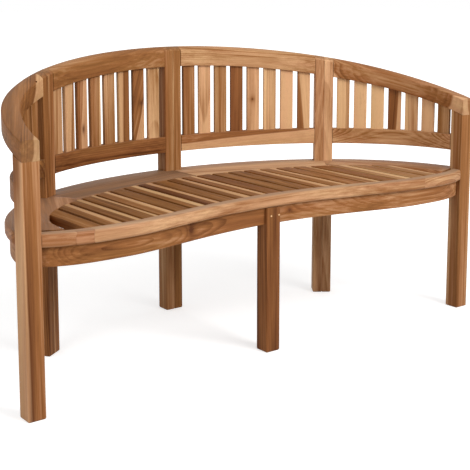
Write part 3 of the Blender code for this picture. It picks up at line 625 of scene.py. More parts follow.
class Graph:
    """A node tree, with short ways to add and link its nodes."""

    def __init__(self, tree):
        self.tree = tree

    def node(self, kind, inputs=(), **settings):
        node = self.tree.nodes.new(kind)
        for name, value in settings.items():
            setattr(node, name, value)
        for key, value in dict(inputs).items():
            self.feed(node.inputs[key], value)
        return node

    def values(self, kind, inputs=(), **settings):
        """Adds a node and gives all that comes out of it."""
        return [Value(self, socket) for socket in self.node(kind, inputs, **settings).outputs]

    def add(self, kind, inputs=(), output=0, **settings):
        """Adds a node and gives one thing that comes out of it."""
        return Value(self, self.node(kind, inputs, **settings).outputs[output])

    def feed(self, socket, value):
        """Links a value to a socket, or sets the socket to a number, colour or vector."""
        if isinstance(value, Value):
            self.tree.links.new(value.socket, socket)
        else:
            socket.default_value = value

    def math(self, operation, first, second=0.0, clamp=False):
        return self.add("ShaderNodeMath", {0: first, 1: second}, operation=operation, use_clamp=clamp)

    def vector(self, operation, first, second=(0.0, 0.0, 0.0)):
        return self.add("ShaderNodeVectorMath", {0: first, 1: second}, operation=operation)

    def spread(self, value, from_low, from_high, to_low=0.0, to_high=1.0):
        inputs = dict(enumerate((value, from_low, from_high, to_low, to_high)))
        return self.add("ShaderNodeMapRange", inputs, interpolation_type="SMOOTHSTEP")

    def mix(self, share, first, second, blend_type="MIX"):
        inputs = {"Factor": share, MIX_FIRST: first, MIX_SECOND: second}
        return self.add("ShaderNodeMix", inputs, MIX_RESULT, data_type="RGBA", blend_type=blend_type)

    def parts(self, vector):
        return self.values("ShaderNodeSeparateXYZ", {0: vector})

    def joined(self, x, y, z):
        return self.add("ShaderNodeCombineXYZ", {0: x, 1: y, 2: z})

    def length(self, x, y):
        return self.math("SQRT", x * x + y * y)

    def scaled(self, share, size):
        """A noise from 0 to 1 turned into a swing of the given size about zero."""
        return (share - 0.5) * size

    def noise(self, place, along, across, detail=2.0, roughness=0.5):
        """Noise drawn out along the grain: so many cells a metre along it and across it."""
        stretched = self.vector("MULTIPLY", place, (along, across, across))
        inputs = {"Vector": stretched, "Scale": 1.0, "Detail": detail, "Roughness": roughness}
        return self.add("ShaderNodeTexNoise", inputs)

    def swing(self, place, cells, size):
        """Such a noise that swings about zero."""
        return self.scaled(self.noise(place, *cells), size)


# How much oiled wood shines, and the rim, and how far a usual board's level faces are washed grey: a
# painted sheen, standing in for the white studio's grazing reflection
OIL_GLOSS = 0.10
RIM_GLOSS = 0.22
USUAL_SHEEN_SHARE = 0.10


@dataclass(frozen=True)
class Finish:
    """One kind of board: its rings' width, how strongly rings and streaks show, its gloss and the painted
    grey sheen of its level faces.
    """

    ring_width: float
    ring_share: float
    streak_share: float
    gloss: float = OIL_GLOSS
    sheen_share: float = USUAL_SHEEN_SHARE


TEAK_DARK = srgb(84, 48, 20)
TEAK_BROWN = srgb(142, 97, 58)
TEAK_LIGHT = srgb(208, 170, 136)
SAPWOOD = srgb(214, 178, 142)
GOLDEN_TINT = srgb(255, 252, 230)
RED_TINT = srgb(255, 234, 222)
PORE_BROWN = srgb(84, 50, 27)
KNOT_BROWN = srgb(84, 44, 22)
END_GRAIN_TONE = srgb(122, 92, 64)
# The grey of the painted sheen on level faces: the white studio's grazing reflection drawn into the colour
SHEEN_GREY = srgb(156, 134, 112)
# Where dark, light and brown lie on the way from dark to light heartwood
DARK_SHARE = 0.04
LIGHT_SHARE = 0.96
BROWN_SHARE = 0.46

# How far apart the noises of two boards may lie
BOARD_SHIFT = (31.0, 17.0, 23.0)
# Noises of the wood: cells a metre along and across the grain, detail and roughness
FIBRES = (16.0, 900.0, 3.0, 0.65)
PORES = (38.0, 1500.0, 2.0)
RING_PATCHES = (0.9, 18.0)
BROAD_STREAKS = (1.6, 20.0, 2.0)
FINE_STREAKS = (2.4, 120.0, 4.0, 0.62)
# The same with how far they swing what they change; ring widths vary outwards and from board to board
RING_WANDER = ((1.2, 8.0), 0.022)
RING_RIPPLE = ((7.0, 55.0), 0.0020)
RING_WIDTHS = ((70.0, 1.0), 2.4)
WARM_STREAKS = ((1.4, 40.0), 0.9)
# How strongly streaks, fibres and late wood change the tone
BROAD_STREAK_SHARE = 1.3
FINE_STREAK_SHARE = 1.4
FIBRE_SHARE = 0.20
RING_SHARE = 1.8

# Knots: the least size, how fast core and halo fade, how far rings bend, and how strongly both darken
LEAST_KNOT = 0.0001
CORE_FADE = -1.2
HALO_FADE = -0.45
KNOT_BULGE = 0.010
HALO_SHARE = 0.36
CORE_SHARE = 0.85

# Ranges of a value, with what they are turned into where that isn't 0 to 1
LATE_WOOD_RISE = (0.20, 0.90)
LATE_WOOD_END = (0.91, 1.0, 1.0, 0.0)
RING_STRENGTHS = (0.0, 1.0, 0.15, 1.0)
PATCH_STRENGTHS = (0.30, 0.65, 0.2, 1.0)
PORE_RANGE = (0.58, 0.72)
SAPWOOD_BROWNING = (-0.5, 0.4, 0.6, 0.0)
HEART_EDGE = (-0.0012, 0.0022)
ROUGHNESS = (0.3, 0.7, 0.48, 0.68)
PORE_SHARE = 0.26
END_GRAIN_SHARE = 0.35
# How high fibres stand, and how deep pores and late wood lie
RELIEF_SHARES = (0.5, 0.7, 0.35)
RELIEF_STRENGTH = 0.30
RELIEF_DEPTH = 0.0005


def teak(name, finish):
    """Oiled teak: rings round a pith, pale sapwood outside the heart, streaks, fibres, pores, knots, and a
    painted grey sheen on level faces.
    """
    material = bpy.data.materials.new(name)
    material.use_nodes = True
    graph = Graph(material.node_tree)
    shader = material.node_tree.nodes["Principled BSDF"]

    def kept(attribute, output="Fac"):
        return graph.add("ShaderNodeAttribute", output=output, attribute_name=attribute)

    grain = kept("grain", "Vector")
    seed, tone, red = graph.parts(kept("board", "Vector"))
    knot_along, knot_across, knot_size = graph.parts(kept("knot", "Vector"))
    unused, across, through = graph.parts(grain)
    shift = graph.vector("MULTIPLY", graph.joined(seed, seed, seed), BOARD_SHIFT)
    spot = graph.vector("ADD", grain, shift)

    # A knot is a soft round core that the rings bend round
    knot_size = graph.math("MAXIMUM", knot_size, LEAST_KNOT)
    reach = graph.length(knot_along / knot_size, knot_across / knot_size)
    core = graph.math("EXPONENT", reach**2.0 * CORE_FADE)
    halo = graph.math("EXPONENT", reach * HALO_FADE)

    # Rings of uneven width, each with a strength of its own
    radius = graph.length(across, through)
    radius += graph.swing(spot, *RING_WANDER)
    radius += graph.swing(spot, *RING_RIPPLE)
    radius += halo * KNOT_BULGE
    turns = radius / finish.ring_width + graph.swing(graph.joined(radius, seed, 0.0), *RING_WIDTHS)
    phase = graph.math("FRACT", turns)
    ring = graph.joined(graph.math("FLOOR", turns), seed, 0.0)
    chance = graph.add("ShaderNodeTexWhiteNoise", {"Vector": ring})
    late = graph.spread(phase, *LATE_WOOD_RISE) * graph.spread(phase, *LATE_WOOD_END)
    late *= graph.spread(chance, *RING_STRENGTHS)
    late *= graph.spread(graph.noise(spot, *RING_PATCHES), *PATCH_STRENGTHS)

    fibres = graph.noise(spot, *FIBRES)
    pores = graph.spread(graph.noise(spot, *PORES), *PORE_RANGE)
    change = graph.swing(spot, BROAD_STREAKS, finish.streak_share * BROAD_STREAK_SHARE)
    change += graph.swing(spot, FINE_STREAKS, finish.streak_share * FINE_STREAK_SHARE)
    change += graph.scaled(fibres, FIBRE_SHARE)
    change -= late * (finish.ring_share * RING_SHARE)
    change -= halo * HALO_SHARE

    ramp = graph.node("ShaderNodeValToRGB", {"Fac": tone + change})
    stops = ramp.color_ramp.elements
    stops[0].position, stops[0].color = DARK_SHARE, TEAK_DARK
    stops[1].position, stops[1].color = LIGHT_SHARE, TEAK_LIGHT
    stops.new(BROWN_SHARE).color = TEAK_BROWN
    heartwood = Value(graph, ramp.outputs["Color"])
    pale = graph.mix(graph.spread(change + (tone - 0.5), *SAPWOOD_BROWNING), SAPWOOD, TEAK_BROWN)
    colour = graph.mix(graph.spread(radius - kept("heart"), *HEART_EDGE), heartwood, pale)

    warmth = graph.spread(red + graph.swing(spot, *WARM_STREAKS), 0.0, 1.0)
    tint = graph.mix(warmth, GOLDEN_TINT, RED_TINT)
    colour = graph.mix(1.0, colour, tint, "MULTIPLY")
    colour = graph.mix(pores * PORE_SHARE, colour, PORE_BROWN)
    colour = graph.mix(core * CORE_SHARE, colour, KNOT_BROWN)
    colour = graph.mix(kept("end_grain") * END_GRAIN_SHARE, colour, END_GRAIN_TONE)
    # Painted sheen: level faces are washed towards grey, for the white studio's grazing reflection on tops
    colour = graph.mix(kept("level") * finish.sheen_share, colour, SHEEN_GREY)
    graph.feed(shader.inputs["Base Color"], colour)
    shader.inputs["Specular IOR Level"].default_value = finish.gloss

    graph.feed(shader.inputs["Roughness"], graph.spread(fibres, *ROUGHNESS))
    fibre_share, pore_share, late_share = RELIEF_SHARES
    relief = fibres * fibre_share - pores * pore_share - late * late_share
    inputs = {"Strength": RELIEF_STRENGTH, "Distance": RELIEF_DEPTH, "Height": relief}
    graph.feed(shader.inputs["Normal"], graph.add("ShaderNodeBump", inputs))
    return material


# Each kind of board's material, and a slot name
POST_WOOD = (teak("post_teak", Finish(0.0070, 0.14, 0.60)), "teak_posts")
RAIL_WOOD = (teak("rail_teak", Finish(0.0060, 0.18, 0.50)), "teak_rails")
SLAT_WOOD = (teak("slat_teak", Finish(0.0065, 0.14, 0.60)), "teak_slats")
# The rims' level faces get more painted grey sheen, the front rim's most
RIM_WOOD = (teak("rim_teak", Finish(0.0070, 0.14, 0.58, RIM_GLOSS, 0.22)), "teak_rim")
FRONT_RIM_WOOD = (teak("front_rim_teak", Finish(0.0070, 0.14, 0.58, RIM_GLOSS, 0.50)), "teak_rim")
SEAT_WOOD = (teak("seat_teak", Finish(0.0065, 0.14, 0.55)), "teak_seat_slats")
APRON_WOOD = (teak("apron_teak", Finish(0.0060, 0.12, 0.55)), "teak_aprons")


def post_outline(low, high, roundings):
    """A stick's section with points all along its sides, so that its top can follow a curve."""
    corners = rounded_section(low, high, roundings)
    outline = []
    for index, (x, y) in enumerate(corners):
        outline.append((x, y))
        if (index + 1) % (ROUNDING_STEPS + 1) == 0:
            to_x, to_y = corners[(index + 1) % len(corners)]
            shares = [step / CROWN_STRIPS for step in range(1, CROWN_STRIPS)]
            outline += [(x + (to_x - x) * share, y + (to_y - y) * share) for share in shares]
    return outline


def post_rings(outline, top):
    """Rings of an upright stick: a rounded foot, and a top whose height follows a rule."""
    xs, ys = zip(*outline)
    middle_x, middle_y = (min(xs) + max(xs)) / 2, (min(ys) + max(ys)) / 2
    half_x, half_y = (max(xs) - min(xs)) / 2, (max(ys) - min(ys)) / 2

    def drawn_in(share_x, share_y, height):
        ring = []
        for x, y in outline:
            at_x = middle_x + (x - middle_x) * (1 - share_x)
            at_y = middle_y + (y - middle_y) * (1 - share_y)
            ring.append((at_x, at_y, height(at_x, at_y)))
        return ring

    rings = []
    for step in range(ROUNDING_STEPS + 1):
        angle = step / ROUNDING_STEPS * QUARTER_TURN
        inset = FOOT_ROUNDING * (1 - math.sin(angle))
        lift = FOOT_ROUNDING * (1 - math.cos(angle))
        rings.append(drawn_in(inset / half_x, inset / half_y, lambda x, y: lift))
    return rings + [drawn_in(share, share, top) for share in (0.0, *TOP_INSET_SHARES)]


def make_end_posts():
    outline = post_outline((LINE_END, FRONT_Y), (END_HIGH.x, FRONT_Y + FRONT_POST), (POST_ROUNDING,) * 4)
    rings = post_rings(outline, lambda x, y: rail_low(ARM_END_STATION - (y - FRONT_Y)) - GAP)
    for name, side in SIDES:
        mirrored = [[(side * x, y, z) for x, y, z in ring] for ring in rings]
        make_board("end_post_" + name, POST_WOOD, mirrored, UP, RIGHT)


def make_back_post(node, station, centre, turn):
    """A wide post glued up from two sticks, with its top on the crown of the rails."""
    cosine, sine = math.cos(turn), math.sin(turn)

    def crowned(x, y):
        return rail_low(station + x) + RAIL_SIDE + crown(station + x, y)

    def turned(x, y, z):
        return centre[0] + x * cosine - y * sine, centre[1] + x * sine + y * cosine, z

    outer, inner = POST_ROUNDING, GLUE_ROUNDING
    sticks = (
        (-BACK_POST_WIDTH / 2, -GLUE_GAP / 2, (outer, inner, inner, outer)),
        (GLUE_GAP / 2, BACK_POST_WIDTH / 2, (inner, outer, outer, inner)),
    )
    piece = Piece(node + "_wood")
    for order, (near, far, roundings) in enumerate(sticks):
        rings = post_rings(post_outline((near, 0.0), (far, RAIL_WIDTH), roundings), crowned)
        rings = [[turned(*point) for point in ring] for ring in rings]
        piece.loft(rings, look_of(f"{node} {order}"), UP, (cosine, sine, 0.0))
    piece.finish(POST_WOOD, node)


def make_back_posts():
    make_back_post("back_post_center", 0.0, (0.0, BACK_Y), 0.0)
    x, y = CORNER_POINT
    make_back_post("corner_post_right", CORNER_STATION, (x, y), -CORNER_TURN)
    make_back_post("corner_post_left", -CORNER_STATION, (-x, y), CORNER_TURN)


def make_front_leg():
    outline = post_outline((LEG_LOW.x, LEG_LOW.y), (LEG_HIGH.x, LEG_HIGH.y), (POST_ROUNDING,) * 4)
    rings = post_rings(outline, lambda x, y: RIM_BOTTOM - GAP)
    make_board("front_leg_center", POST_WOOD, rings, UP, RIGHT)


def make_bent_boards():
    """The rails and aprons, which follow the back and arms or the seat's front edge."""

    def section(near, bottom, width, top, strips=1):
        return rounded_section((near, bottom), (near + width, top), (BOARD_ROUNDING,) * 4, strips)

    crowned = section(0.0, 0.0, RAIL_WIDTH, RAIL_SIDE, CROWN_STRIPS)
    lower = section(0.0, LOWER_LOW.z, LOWER_RAIL_DEPTH, LOWER_HIGH.z)
    front = section(FRONT_APRON_SETBACK, APRON_LOW.z, APRON_THICKNESS, APRON_HIGH.z)
    rear = section(REAR_APRON_INSET, APRON_LOW.z, APRON_THICKNESS, APRON_HIGH.z)
    kinds = (
        ("back_top_rail_", RAIL_WOOD, PLAN, crowned, AT_MIDDLE_POST, BEFORE_CORNER_POST, on_top_rail),
        ("arm_rail_", RAIL_WOOD, PLAN, crowned, AFTER_CORNER_POST, ARM_FRONT, on_top_rail),
        ("back_lower_rail_", RAIL_WOOD, PLAN, lower, AT_MIDDLE_POST, BEFORE_CORNER_POST, level),
        ("arm_lower_rail_", RAIL_WOOD, PLAN, lower, AFTER_CORNER_POST, BEHIND_END_POST, level),
        ("front_apron_", APRON_WOOD, FRONT, front, AT_MIDDLE_LEG, AT_END_POST, level),
        ("rear_apron_", APRON_WOOD, PLAN, rear, AT_MIDDLE_POST, BEFORE_CORNER_POST, level),
        ("end_apron_", APRON_WOOD, PLAN, rear, AFTER_CORNER_POST, BEHIND_END_POST, level),
    )
    for prefix, wood, line, outline, near, far, lift in kinds:
        for name, side in SIDES:
            rings = swept_rings(line, outline, near, far, side, lift)
            make_board(prefix + name, wood, rings, chord(rings, side))


def make_bearer():
    half = BEARER_WIDTH / 2
    section = rounded_section((-half, APRON_LOW.z), (half, APRON_HIGH.z), (BOARD_ROUNDING,) * 4)
    rings = [[(x, y, z) for x, z in section] for y in (LEG_HIGH.y + GAP, BACK_Y - GAP)]
    make_board("seat_bearer", APRON_WOOD, rings, BACKWARDS)


# The front rim is four boards finger-jointed end to end, at these distances from the middle
RIM_JOINTS = (-0.652, -0.607, 0.528)
RIM_JOINT_DEPTH = 0.010
RIM_JOINT_GAP = 0.0002
LEAST_RIM_SLICES = 8
# How far the grain of the other rim boards slants from the way across and from the way to the front
REAR_RIM_SLANT = 0.30
END_RIM_SLANT = 0.45


def rim_section():
    """The front rim's section: a rounded front, a flat top and the ledge under the slats."""
    roundings = (SEAT_EDGE_ROUNDING, 0.0, 0.0, SEAT_EDGE_ROUNDING)
    front = rounded_section((HAIR, RIM_BOTTOM), (FRONT_RIM_WIDTH, SEAT_TOP), roundings)
    outline = list(dict.fromkeys(front))
    ledge = FRONT_RIM_WIDTH + FRONT_LEDGE_WIDTH
    corner = outline.index((FRONT_RIM_WIDTH, RIM_BOTTOM))
    outline[corner:corner + 1] = [(ledge, RIM_BOTTOM), (ledge, LEDGE_TOP), (FRONT_RIM_WIDTH, LEDGE_TOP)]
    return outline


def make_front_rim():
    section = rim_section()
    reach = LINE_END - GAP
    middle = (SEAT_TOP + RIM_BOTTOM) / 2
    half = (SEAT_TOP - RIM_BOTTOM) / 2
    ends = (-reach, *RIM_JOINTS, reach)
    piece = Piece("seat_rim_front_wood")
    for index, (near, far) in enumerate(zip(ends, ends[1:])):
        slices = max(LEAST_RIM_SLICES, round(RAIL_SLICES * (far - near) / reach))
        rings = []
        for step in range(slices + 1):
            ring = []
            for offset, height in section:
                fold = RIM_JOINT_DEPTH * abs(height - middle) / half - RIM_JOINT_DEPTH / 2
                start = near + (fold + RIM_JOINT_GAP if index > 0 else 0.0)
                end = far + (fold - RIM_JOINT_GAP if index < len(RIM_JOINTS) else 0.0)
                x = start + (end - start) * step / slices
                ring.append((x, front_depth(x) + offset, height))
            rings.append(ring)
        piece.loft(rings, look_of(f"front rim {index}"), chord(rings))
    piece.finish(FRONT_RIM_WOOD, "seat_rim_front")


def make_rim_boards():
    """The other boards of the rim, from the frame's own shapes, each with its grain."""
    for name, side in SIDES:
        headings = {"rear": (1.0, -side * REAR_RIM_SLANT, 0.0), "end": (side * END_RIM_SLANT, -1.0, 0.0)}
        for place_name, heading in headings.items():
            node = f"seat_rim_{place_name}_{name}"
            piece = Piece(node + "_wood")
            piece.bm.from_mesh(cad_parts[node].data)
            bmesh.ops.remove_doubles(piece.bm, verts=piece.bm.verts, dist=HAIR)
            low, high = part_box(node)
            flat = Vector(heading).cross(UP)
            piece.stain(piece.bm.verts, piece.bm.faces, look_of(node), (low + high) / 2, heading, flat)
            piece.finish(RIM_WOOD, node)


# How finely the edge of an upright slat is rounded, a seat slat divided each way, and a plug turned
SLAT_EDGE_STEPS = 3
SEAT_SLAT_POINTS = (9, 13, 2)
PLUG_SIDES = 24
# Points of a slat that lie closer are one
WELD = 0.00001
BOARD_SIZES = ("Width", "Thickness", "Edge Radius")
VECTOR = "FLOAT_VECTOR"
UNTURNED = (0.0, 0.0, 0.0)
UNSCALED = (1.0, 1.0, 1.0)


def named(graph, name, kind="FLOAT"):
    return graph.add("GeometryNodeInputNamedAttribute", {"Name": name}, data_type=kind)


def named_parts(graph, name):
    return graph.parts(named(graph, name, VECTOR))


def stored(graph, geometry, name, value):
    inputs = {"Geometry": geometry, "Name": name}
    node = graph.node("GeometryNodeStoreNamedAttribute", inputs, data_type=VECTOR, domain="POINT")
    graph.feed(node.inputs["Value"], value)
    return Value(graph, node.outputs["Geometry"])


def board_tree(name, lay_out):
    """Boards of one kind, one for each point, whose shape a function lays out."""
    tree = bpy.data.node_groups.new(name, "GeometryNodeTree")
    tree.interface.new_socket("Geometry", in_out="INPUT", socket_type="NodeSocketGeometry")
    for size in BOARD_SIZES:
        tree.interface.new_socket(size, in_out="INPUT", socket_type="NodeSocketFloat")
    tree.interface.new_socket("Geometry", in_out="OUTPUT", socket_type="NodeSocketGeometry")
    graph = Graph(tree)
    points, width, thickness, radius, *unused = graph.values("NodeGroupInput")
    shape, rotation, scale, position, grain = lay_out(graph, width, thickness, radius)
    shape = stored(graph, shape, "section", graph.add("GeometryNodeInputPosition"))
    inputs = {"Points": points, "Instance": shape, "Rotation": rotation, "Scale": scale}
    boards = graph.add("GeometryNodeInstanceOnPoints", inputs)
    boards = graph.add("GeometryNodeRealizeInstances", {"Geometry": boards})
    if position is not None:
        boards = graph.add("GeometryNodeSetPosition", {"Geometry": boards, "Position": position})
    boards = stored(graph, boards, "grain", grain)
    boards = graph.add("GeometryNodeSetMaterial", {"Geometry": boards})
    graph.node("NodeGroupOutput", {0: boards})
    return tree


def from_pith(graph, u, v, w):
    """A point's place along the grain and from the pith, which leans to the board."""
    lean = graph.vector("MULTIPLY", named(graph, "lean", VECTOR), graph.joined(u, u, u))
    across, through, unused = graph.parts(graph.vector("SUBTRACT", lean, named(graph, "pith", VECTOR)))
    return graph.joined(u, v + across, w + through)


def upright_shape(graph, width, thickness, radius):
    """A stick one unit high, with round edges, scaled to a slat's height and turned to the seat."""
    box = {"Width": width, "Height": thickness}
    outline = graph.add("GeometryNodeCurvePrimitiveQuadrilateral", box, mode="RECTANGLE")
    fillet = {"Curve": outline, "Radius": radius, "Count": SLAT_EDGE_STEPS}
    outline = graph.add("GeometryNodeFilletCurve", fillet, mode="POLY")
    face = graph.add("GeometryNodeFillCurve", {"Curve": outline}, mode="NGONS")
    sides = graph.add("GeometryNodeExtrudeMesh", {"Mesh": face, "Offset": UP, "Individual": False})
    join = graph.node("GeometryNodeJoinGeometry")
    graph.feed(join.inputs[0], sides)
    graph.feed(join.inputs[0], graph.add("GeometryNodeFlipFaces", {"Mesh": face}))
    closed = {"Geometry": Value(graph, join.outputs[0]), "Distance": WELD}
    shape = graph.add("GeometryNodeMergeByDistance", closed)

    turn = graph.joined(0.0, 0.0, named(graph, "turn"))
    rotation = graph.add("FunctionNodeEulerToRotation", {0: turn})
    height = named(graph, "high") - named(graph, "low")
    v, w, share = named_parts(graph, "section")
    return shape, rotation, graph.joined(1.0, 1.0, height), None, from_pith(graph, share * height, v, w)


def seat_shape(graph, width, thickness, radius):
    """A flat board with eased upper edges, whose ends are cut to the seat's front and back curves."""
    across, along, through = SEAT_SLAT_POINTS
    block = {"Vertices X": across, "Vertices Y": along, "Vertices Z": through, "Size": UNSCALED}
    shape = graph.add("GeometryNodeMeshCube", block)
    across, along, through = named_parts(graph, "section")
    half = width / 2.0
    side = across * 2.0
    inset = (1.0 - graph.math("ABSOLUTE", side)) ** 2.0
    v = graph.math("SIGN", side) * half * (1.0 - inset)
    over = graph.math("MAXIMUM", graph.math("ABSOLUTE", v) - (half - radius), 0.0) / radius
    drop = (1.0 - graph.math("SUBTRACT", 1.0, over * over, clamp=True) ** 0.5) * radius
    w = through * thickness - drop * graph.math("GREATER_THAN", through, 0.0)

    def cut(name):
        level_part, slope, bend = named_parts(graph, name)
        return level_part + (slope + bend * v) * v

    front, back = cut("front_cut"), cut("back_cut")
    y = front + (back - front) * (along + 0.5)
    middle_x, unused, middle_z = named_parts(graph, "middle")
    position = graph.joined(middle_x + v, y, middle_z + w)
    return shape, UNTURNED, UNSCALED, position, from_pith(graph, y, v, w)


def plug_shape(graph, width, thickness, radius):
    """A round plug, a little tapered at its outer end, turned to the face it fills."""
    half = width / 2.0
    plug = {"Vertices": PLUG_SIDES, "Radius Bottom": half, "Radius Top": half - radius, "Depth": thickness}
    shape = graph.add("GeometryNodeMeshCone", plug)
    rotation = graph.add("FunctionNodeEulerToRotation", {0: named(graph, "facing", VECTOR)})
    x, y, z = named_parts(graph, "section")
    return shape, rotation, UNSCALED, None, graph.joined(z, x, y)


UPRIGHT_TREE = board_tree("upright_slats", upright_shape)
PLUG_TREE = board_tree("plugs", plug_shape)
SEAT_TREE = board_tree("seat_slats", seat_shape)


def grown(name, tree, rows, sizes, wood, *nodes):
    """Runs a tree on one point for each row, and keeps the result as a plain mesh."""
    mesh = bpy.data.meshes.new(name + "_points")
    mesh.from_pydata([row.pop("at") for row in rows], [], [])
    for key, first in rows[0].items():
        is_vector = isinstance(first, tuple)
        layer = mesh.attributes.new(key, VECTOR if is_vector else "FLOAT", "POINT")
        for point, row in zip(layer.data, rows):
            setattr(point, "vector" if is_vector else "value", row[key])
    source = linked(name + "_points", mesh)
    modifier = source.modifiers.new("boards", "NODES")
    modifier.node_group = tree
    named_sizes = dict(zip(BOARD_SIZES, sizes))
    for item in tree.interface.items_tree:
        if item.name in named_sizes:
            modifier[item.identifier] = named_sizes[item.name]
    graph = bpy.context.evaluated_depsgraph_get()
    made = bpy.data.meshes.new_from_object(source.evaluated_get(graph))
    source.modifiers.remove(modifier)
    bpy.data.objects.remove(source)
    made.name = name
    return place(linked(name, made), wood, *nodes)


def look_row(look, seed_name):
    """What a board's point carries of its look."""
    return {
        "pith": (*look.pith, 0.0),
        "lean": (*look.lean, 0.0),
        "board": (random.Random(seed_name).random(), look.tone, look.red),
        "heart": look.heart,
    }


def slat_stations(near, far):
    start = PLAN.meets(near, SLAT_OFFSET)
    finish = PLAN.meets(far, SLAT_OFFSET)
    count = round((finish - start - SLAT_GAP_AIM) / (SLAT_WIDTH + SLAT_GAP_AIM))
    gap = (finish - start - count * SLAT_WIDTH) / (count + 1)
    return [start + gap + SLAT_WIDTH / 2 + index * (SLAT_WIDTH + gap) for index in range(count)]


def make_upright_slats():
    low = LOWER_HIGH.z - SLAT_HOUSING
    sizes = (SLAT_WIDTH, SLAT_THICKNESS, SLAT_ROUNDING)
    panels = (("back", AT_MIDDLE_POST, BEFORE_CORNER_POST), ("arm", AFTER_CORNER_POST, BEHIND_END_POST))
    for panel, near, far in panels:
        for name, side in SIDES:
            rows = []
            for index, station in enumerate(slat_stations(near, far)):
                x, y = PLAN.point(station, SLAT_OFFSET)
                tangent = PLAN.at(PLAN.tangents, station)
                look = look_of(f"{panel} {name} slat {index}")
                rows.append({
                    "at": (side * x, y, low),
                    "low": low,
                    "high": rail_low(station) + SLAT_HOUSING,
                    "turn": side * math.atan2(tangent[1], tangent[0]),
                    "knot_at": look.knot[:3],
                    "streak": look.knot[-1],
                    **look_row(look, f"{panel} {name} seed {index}"),
                })
            nodes = [f"{panel}_slat_{name}_{index + 1}" for index in range(len(rows))]
            slats = f"{panel}_slats_{name}_wood"
            mark_knots(grown(slats, UPRIGHT_TREE, rows, sizes, SLAT_WOOD, *nodes).data)


def mark_knots(mesh):
    """Keeps each point's place from its board's knot, reckoned from where the knot is on the board."""
    marks = mesh.attributes.new("knot", VECTOR, "POINT").data
    section, grain = mesh.attributes["section"].data, mesh.attributes["grain"].data
    knots, streaks = mesh.attributes["knot_at"].data, mesh.attributes["streak"].data
    for index, mark in enumerate(marks):
        knot = (*knots[index].vector, streaks[index].value)
        mark.vector = from_knot(knot, grain[index].vector[0], section[index].vector[0])


# How light the seat slats are, from the middle outwards
SEAT_TONE_SHARES = {
    "left": (0.37, 0.29, 0.39, 0.25, 0.36, 0.28, 0.46, 0.41, 0.28, 0.34, 0.41),
    "right": (0.32, 0.43, 0.32, 0.44, 0.53, 0.44, 0.52, 0.40, 0.54, 0.60, 0.50),
}
SEAT_TONE_SPREAD = 0.04
SEAT_RED_RANGE = (0.1, 0.5)
# How many of them are part sapwood, and how far right of their middle it starts
SEAT_SAPWOOD_SHARE = 0.65
SEAT_SAPWOOD_PLACE = (0.002, 0.012)


def seat_slat_look(name, index):
    """A seat slat's look: most of them turn pale towards their right edge."""
    chance = random.Random(f"seat sapwood {name} {index}")
    choices = {"red": chance.uniform(*SEAT_RED_RANGE)}
    if chance.random() < SEAT_SAPWOOD_SHARE:
        choices.update(sapwood_beside(chance.uniform(*SEAT_SAPWOOD_PLACE), chance.uniform(*LEAN_ACROSS)))
    tone = SEAT_TONE_SHARES[name][index]
    return board_look(f"seat slat {name} {index}", tone, SEAT_TONE_SPREAD, **choices)


def curve_fit(depth, middle, half):
    """A depth along the seat near one slat, as a level, a slope and a bend across the slat."""
    low, centre, high = depth(middle - half), depth(middle), depth(middle + half)
    return centre, (high - low) / (2 * half), (high + low - 2 * centre) / (2 * half * half)


def make_seat_slats():
    width = SEAT_SLAT_PITCH - SEAT_SLAT_GAP
    thickness = SEAT_TOP - LEDGE_TOP - GAP
    for name, side in SIDES:
        rows = []
        for index in range(HALF_SEAT_SLATS):
            middle = side * (index + 0.5) * SEAT_SLAT_PITCH
            rows.append({
                "at": (0.0, 0.0, 0.0),
                "middle": (middle, 0.0, SEAT_TOP - thickness / 2),
                "front_cut": curve_fit(lambda x: front_depth(x) + FRONT_RIM_WIDTH + GAP, middle, width / 2),
                "back_cut": curve_fit(lambda x: opening_depth(x) - GAP, middle, width / 2),
                "knot": NO_KNOT[:3],
                **look_row(seat_slat_look(name, index), f"seat seed {name} {index}"),
            })
        nodes = [f"seat_slats_{place_name}_{name}" for place_name in ("inner", "outer")]
        sizes = (width, thickness, SEAT_SLAT_ROUNDING)
        grown(f"seat_slats_{name}_wood", SEAT_TREE, rows, sizes, SEAT_WOOD, *nodes)


PLUG_WIDTH = 0.0060
PIN_WIDTH = 0.0050
PLUG_LENGTH = 0.0030
PLUG_PROUD = 0.0004
PLUG_TAPER = 0.0004
# The seed, tone and redness of both kinds
PLUG_BOARD = (0.3, 1.3, 0.2)
PIN_BOARD = (0.6, 0.0, 0.5)
# Pale plugs over screws in the middle leg's head: how far right, and how high
LEG_PLUGS = ((-0.0094, 0.3920), (0.0182, 0.3924))
# A dark pin in the left arm's inner face, so far past the middle of the corner post, and so high
ARM_PIN_STATION = 0.070
ARM_PIN_HEIGHT = 0.772


def make_plugs():
    def plug_row(at, turn, board, heart):
        facing = (QUARTER_TURN, 0.0, turn)
        return {"at": at, "facing": facing, "board": board, "heart": heart, "knot": NO_KNOT[:3]}

    sunk = PLUG_LENGTH - PLUG_PROUD
    plugs = [plug_row((x, LEG_LOW.y + sunk, z), 0.0, PLUG_BOARD, ALL_SAPWOOD) for x, z in LEG_PLUGS]
    x, y = PLAN.point(CORNER_STATION + ARM_PIN_STATION, sunk)
    pins = [plug_row((-x, y, ARM_PIN_HEIGHT), CORNER_TURN, PIN_BOARD, ALL_HEARTWOOD)]
    for name, rows, width in (("leg_plugs", plugs, PLUG_WIDTH), ("arm_pin", pins, PIN_WIDTH)):
        grown(name, PLUG_TREE, rows, (width, PLUG_LENGTH, PLUG_TAPER), POST_WOOD)


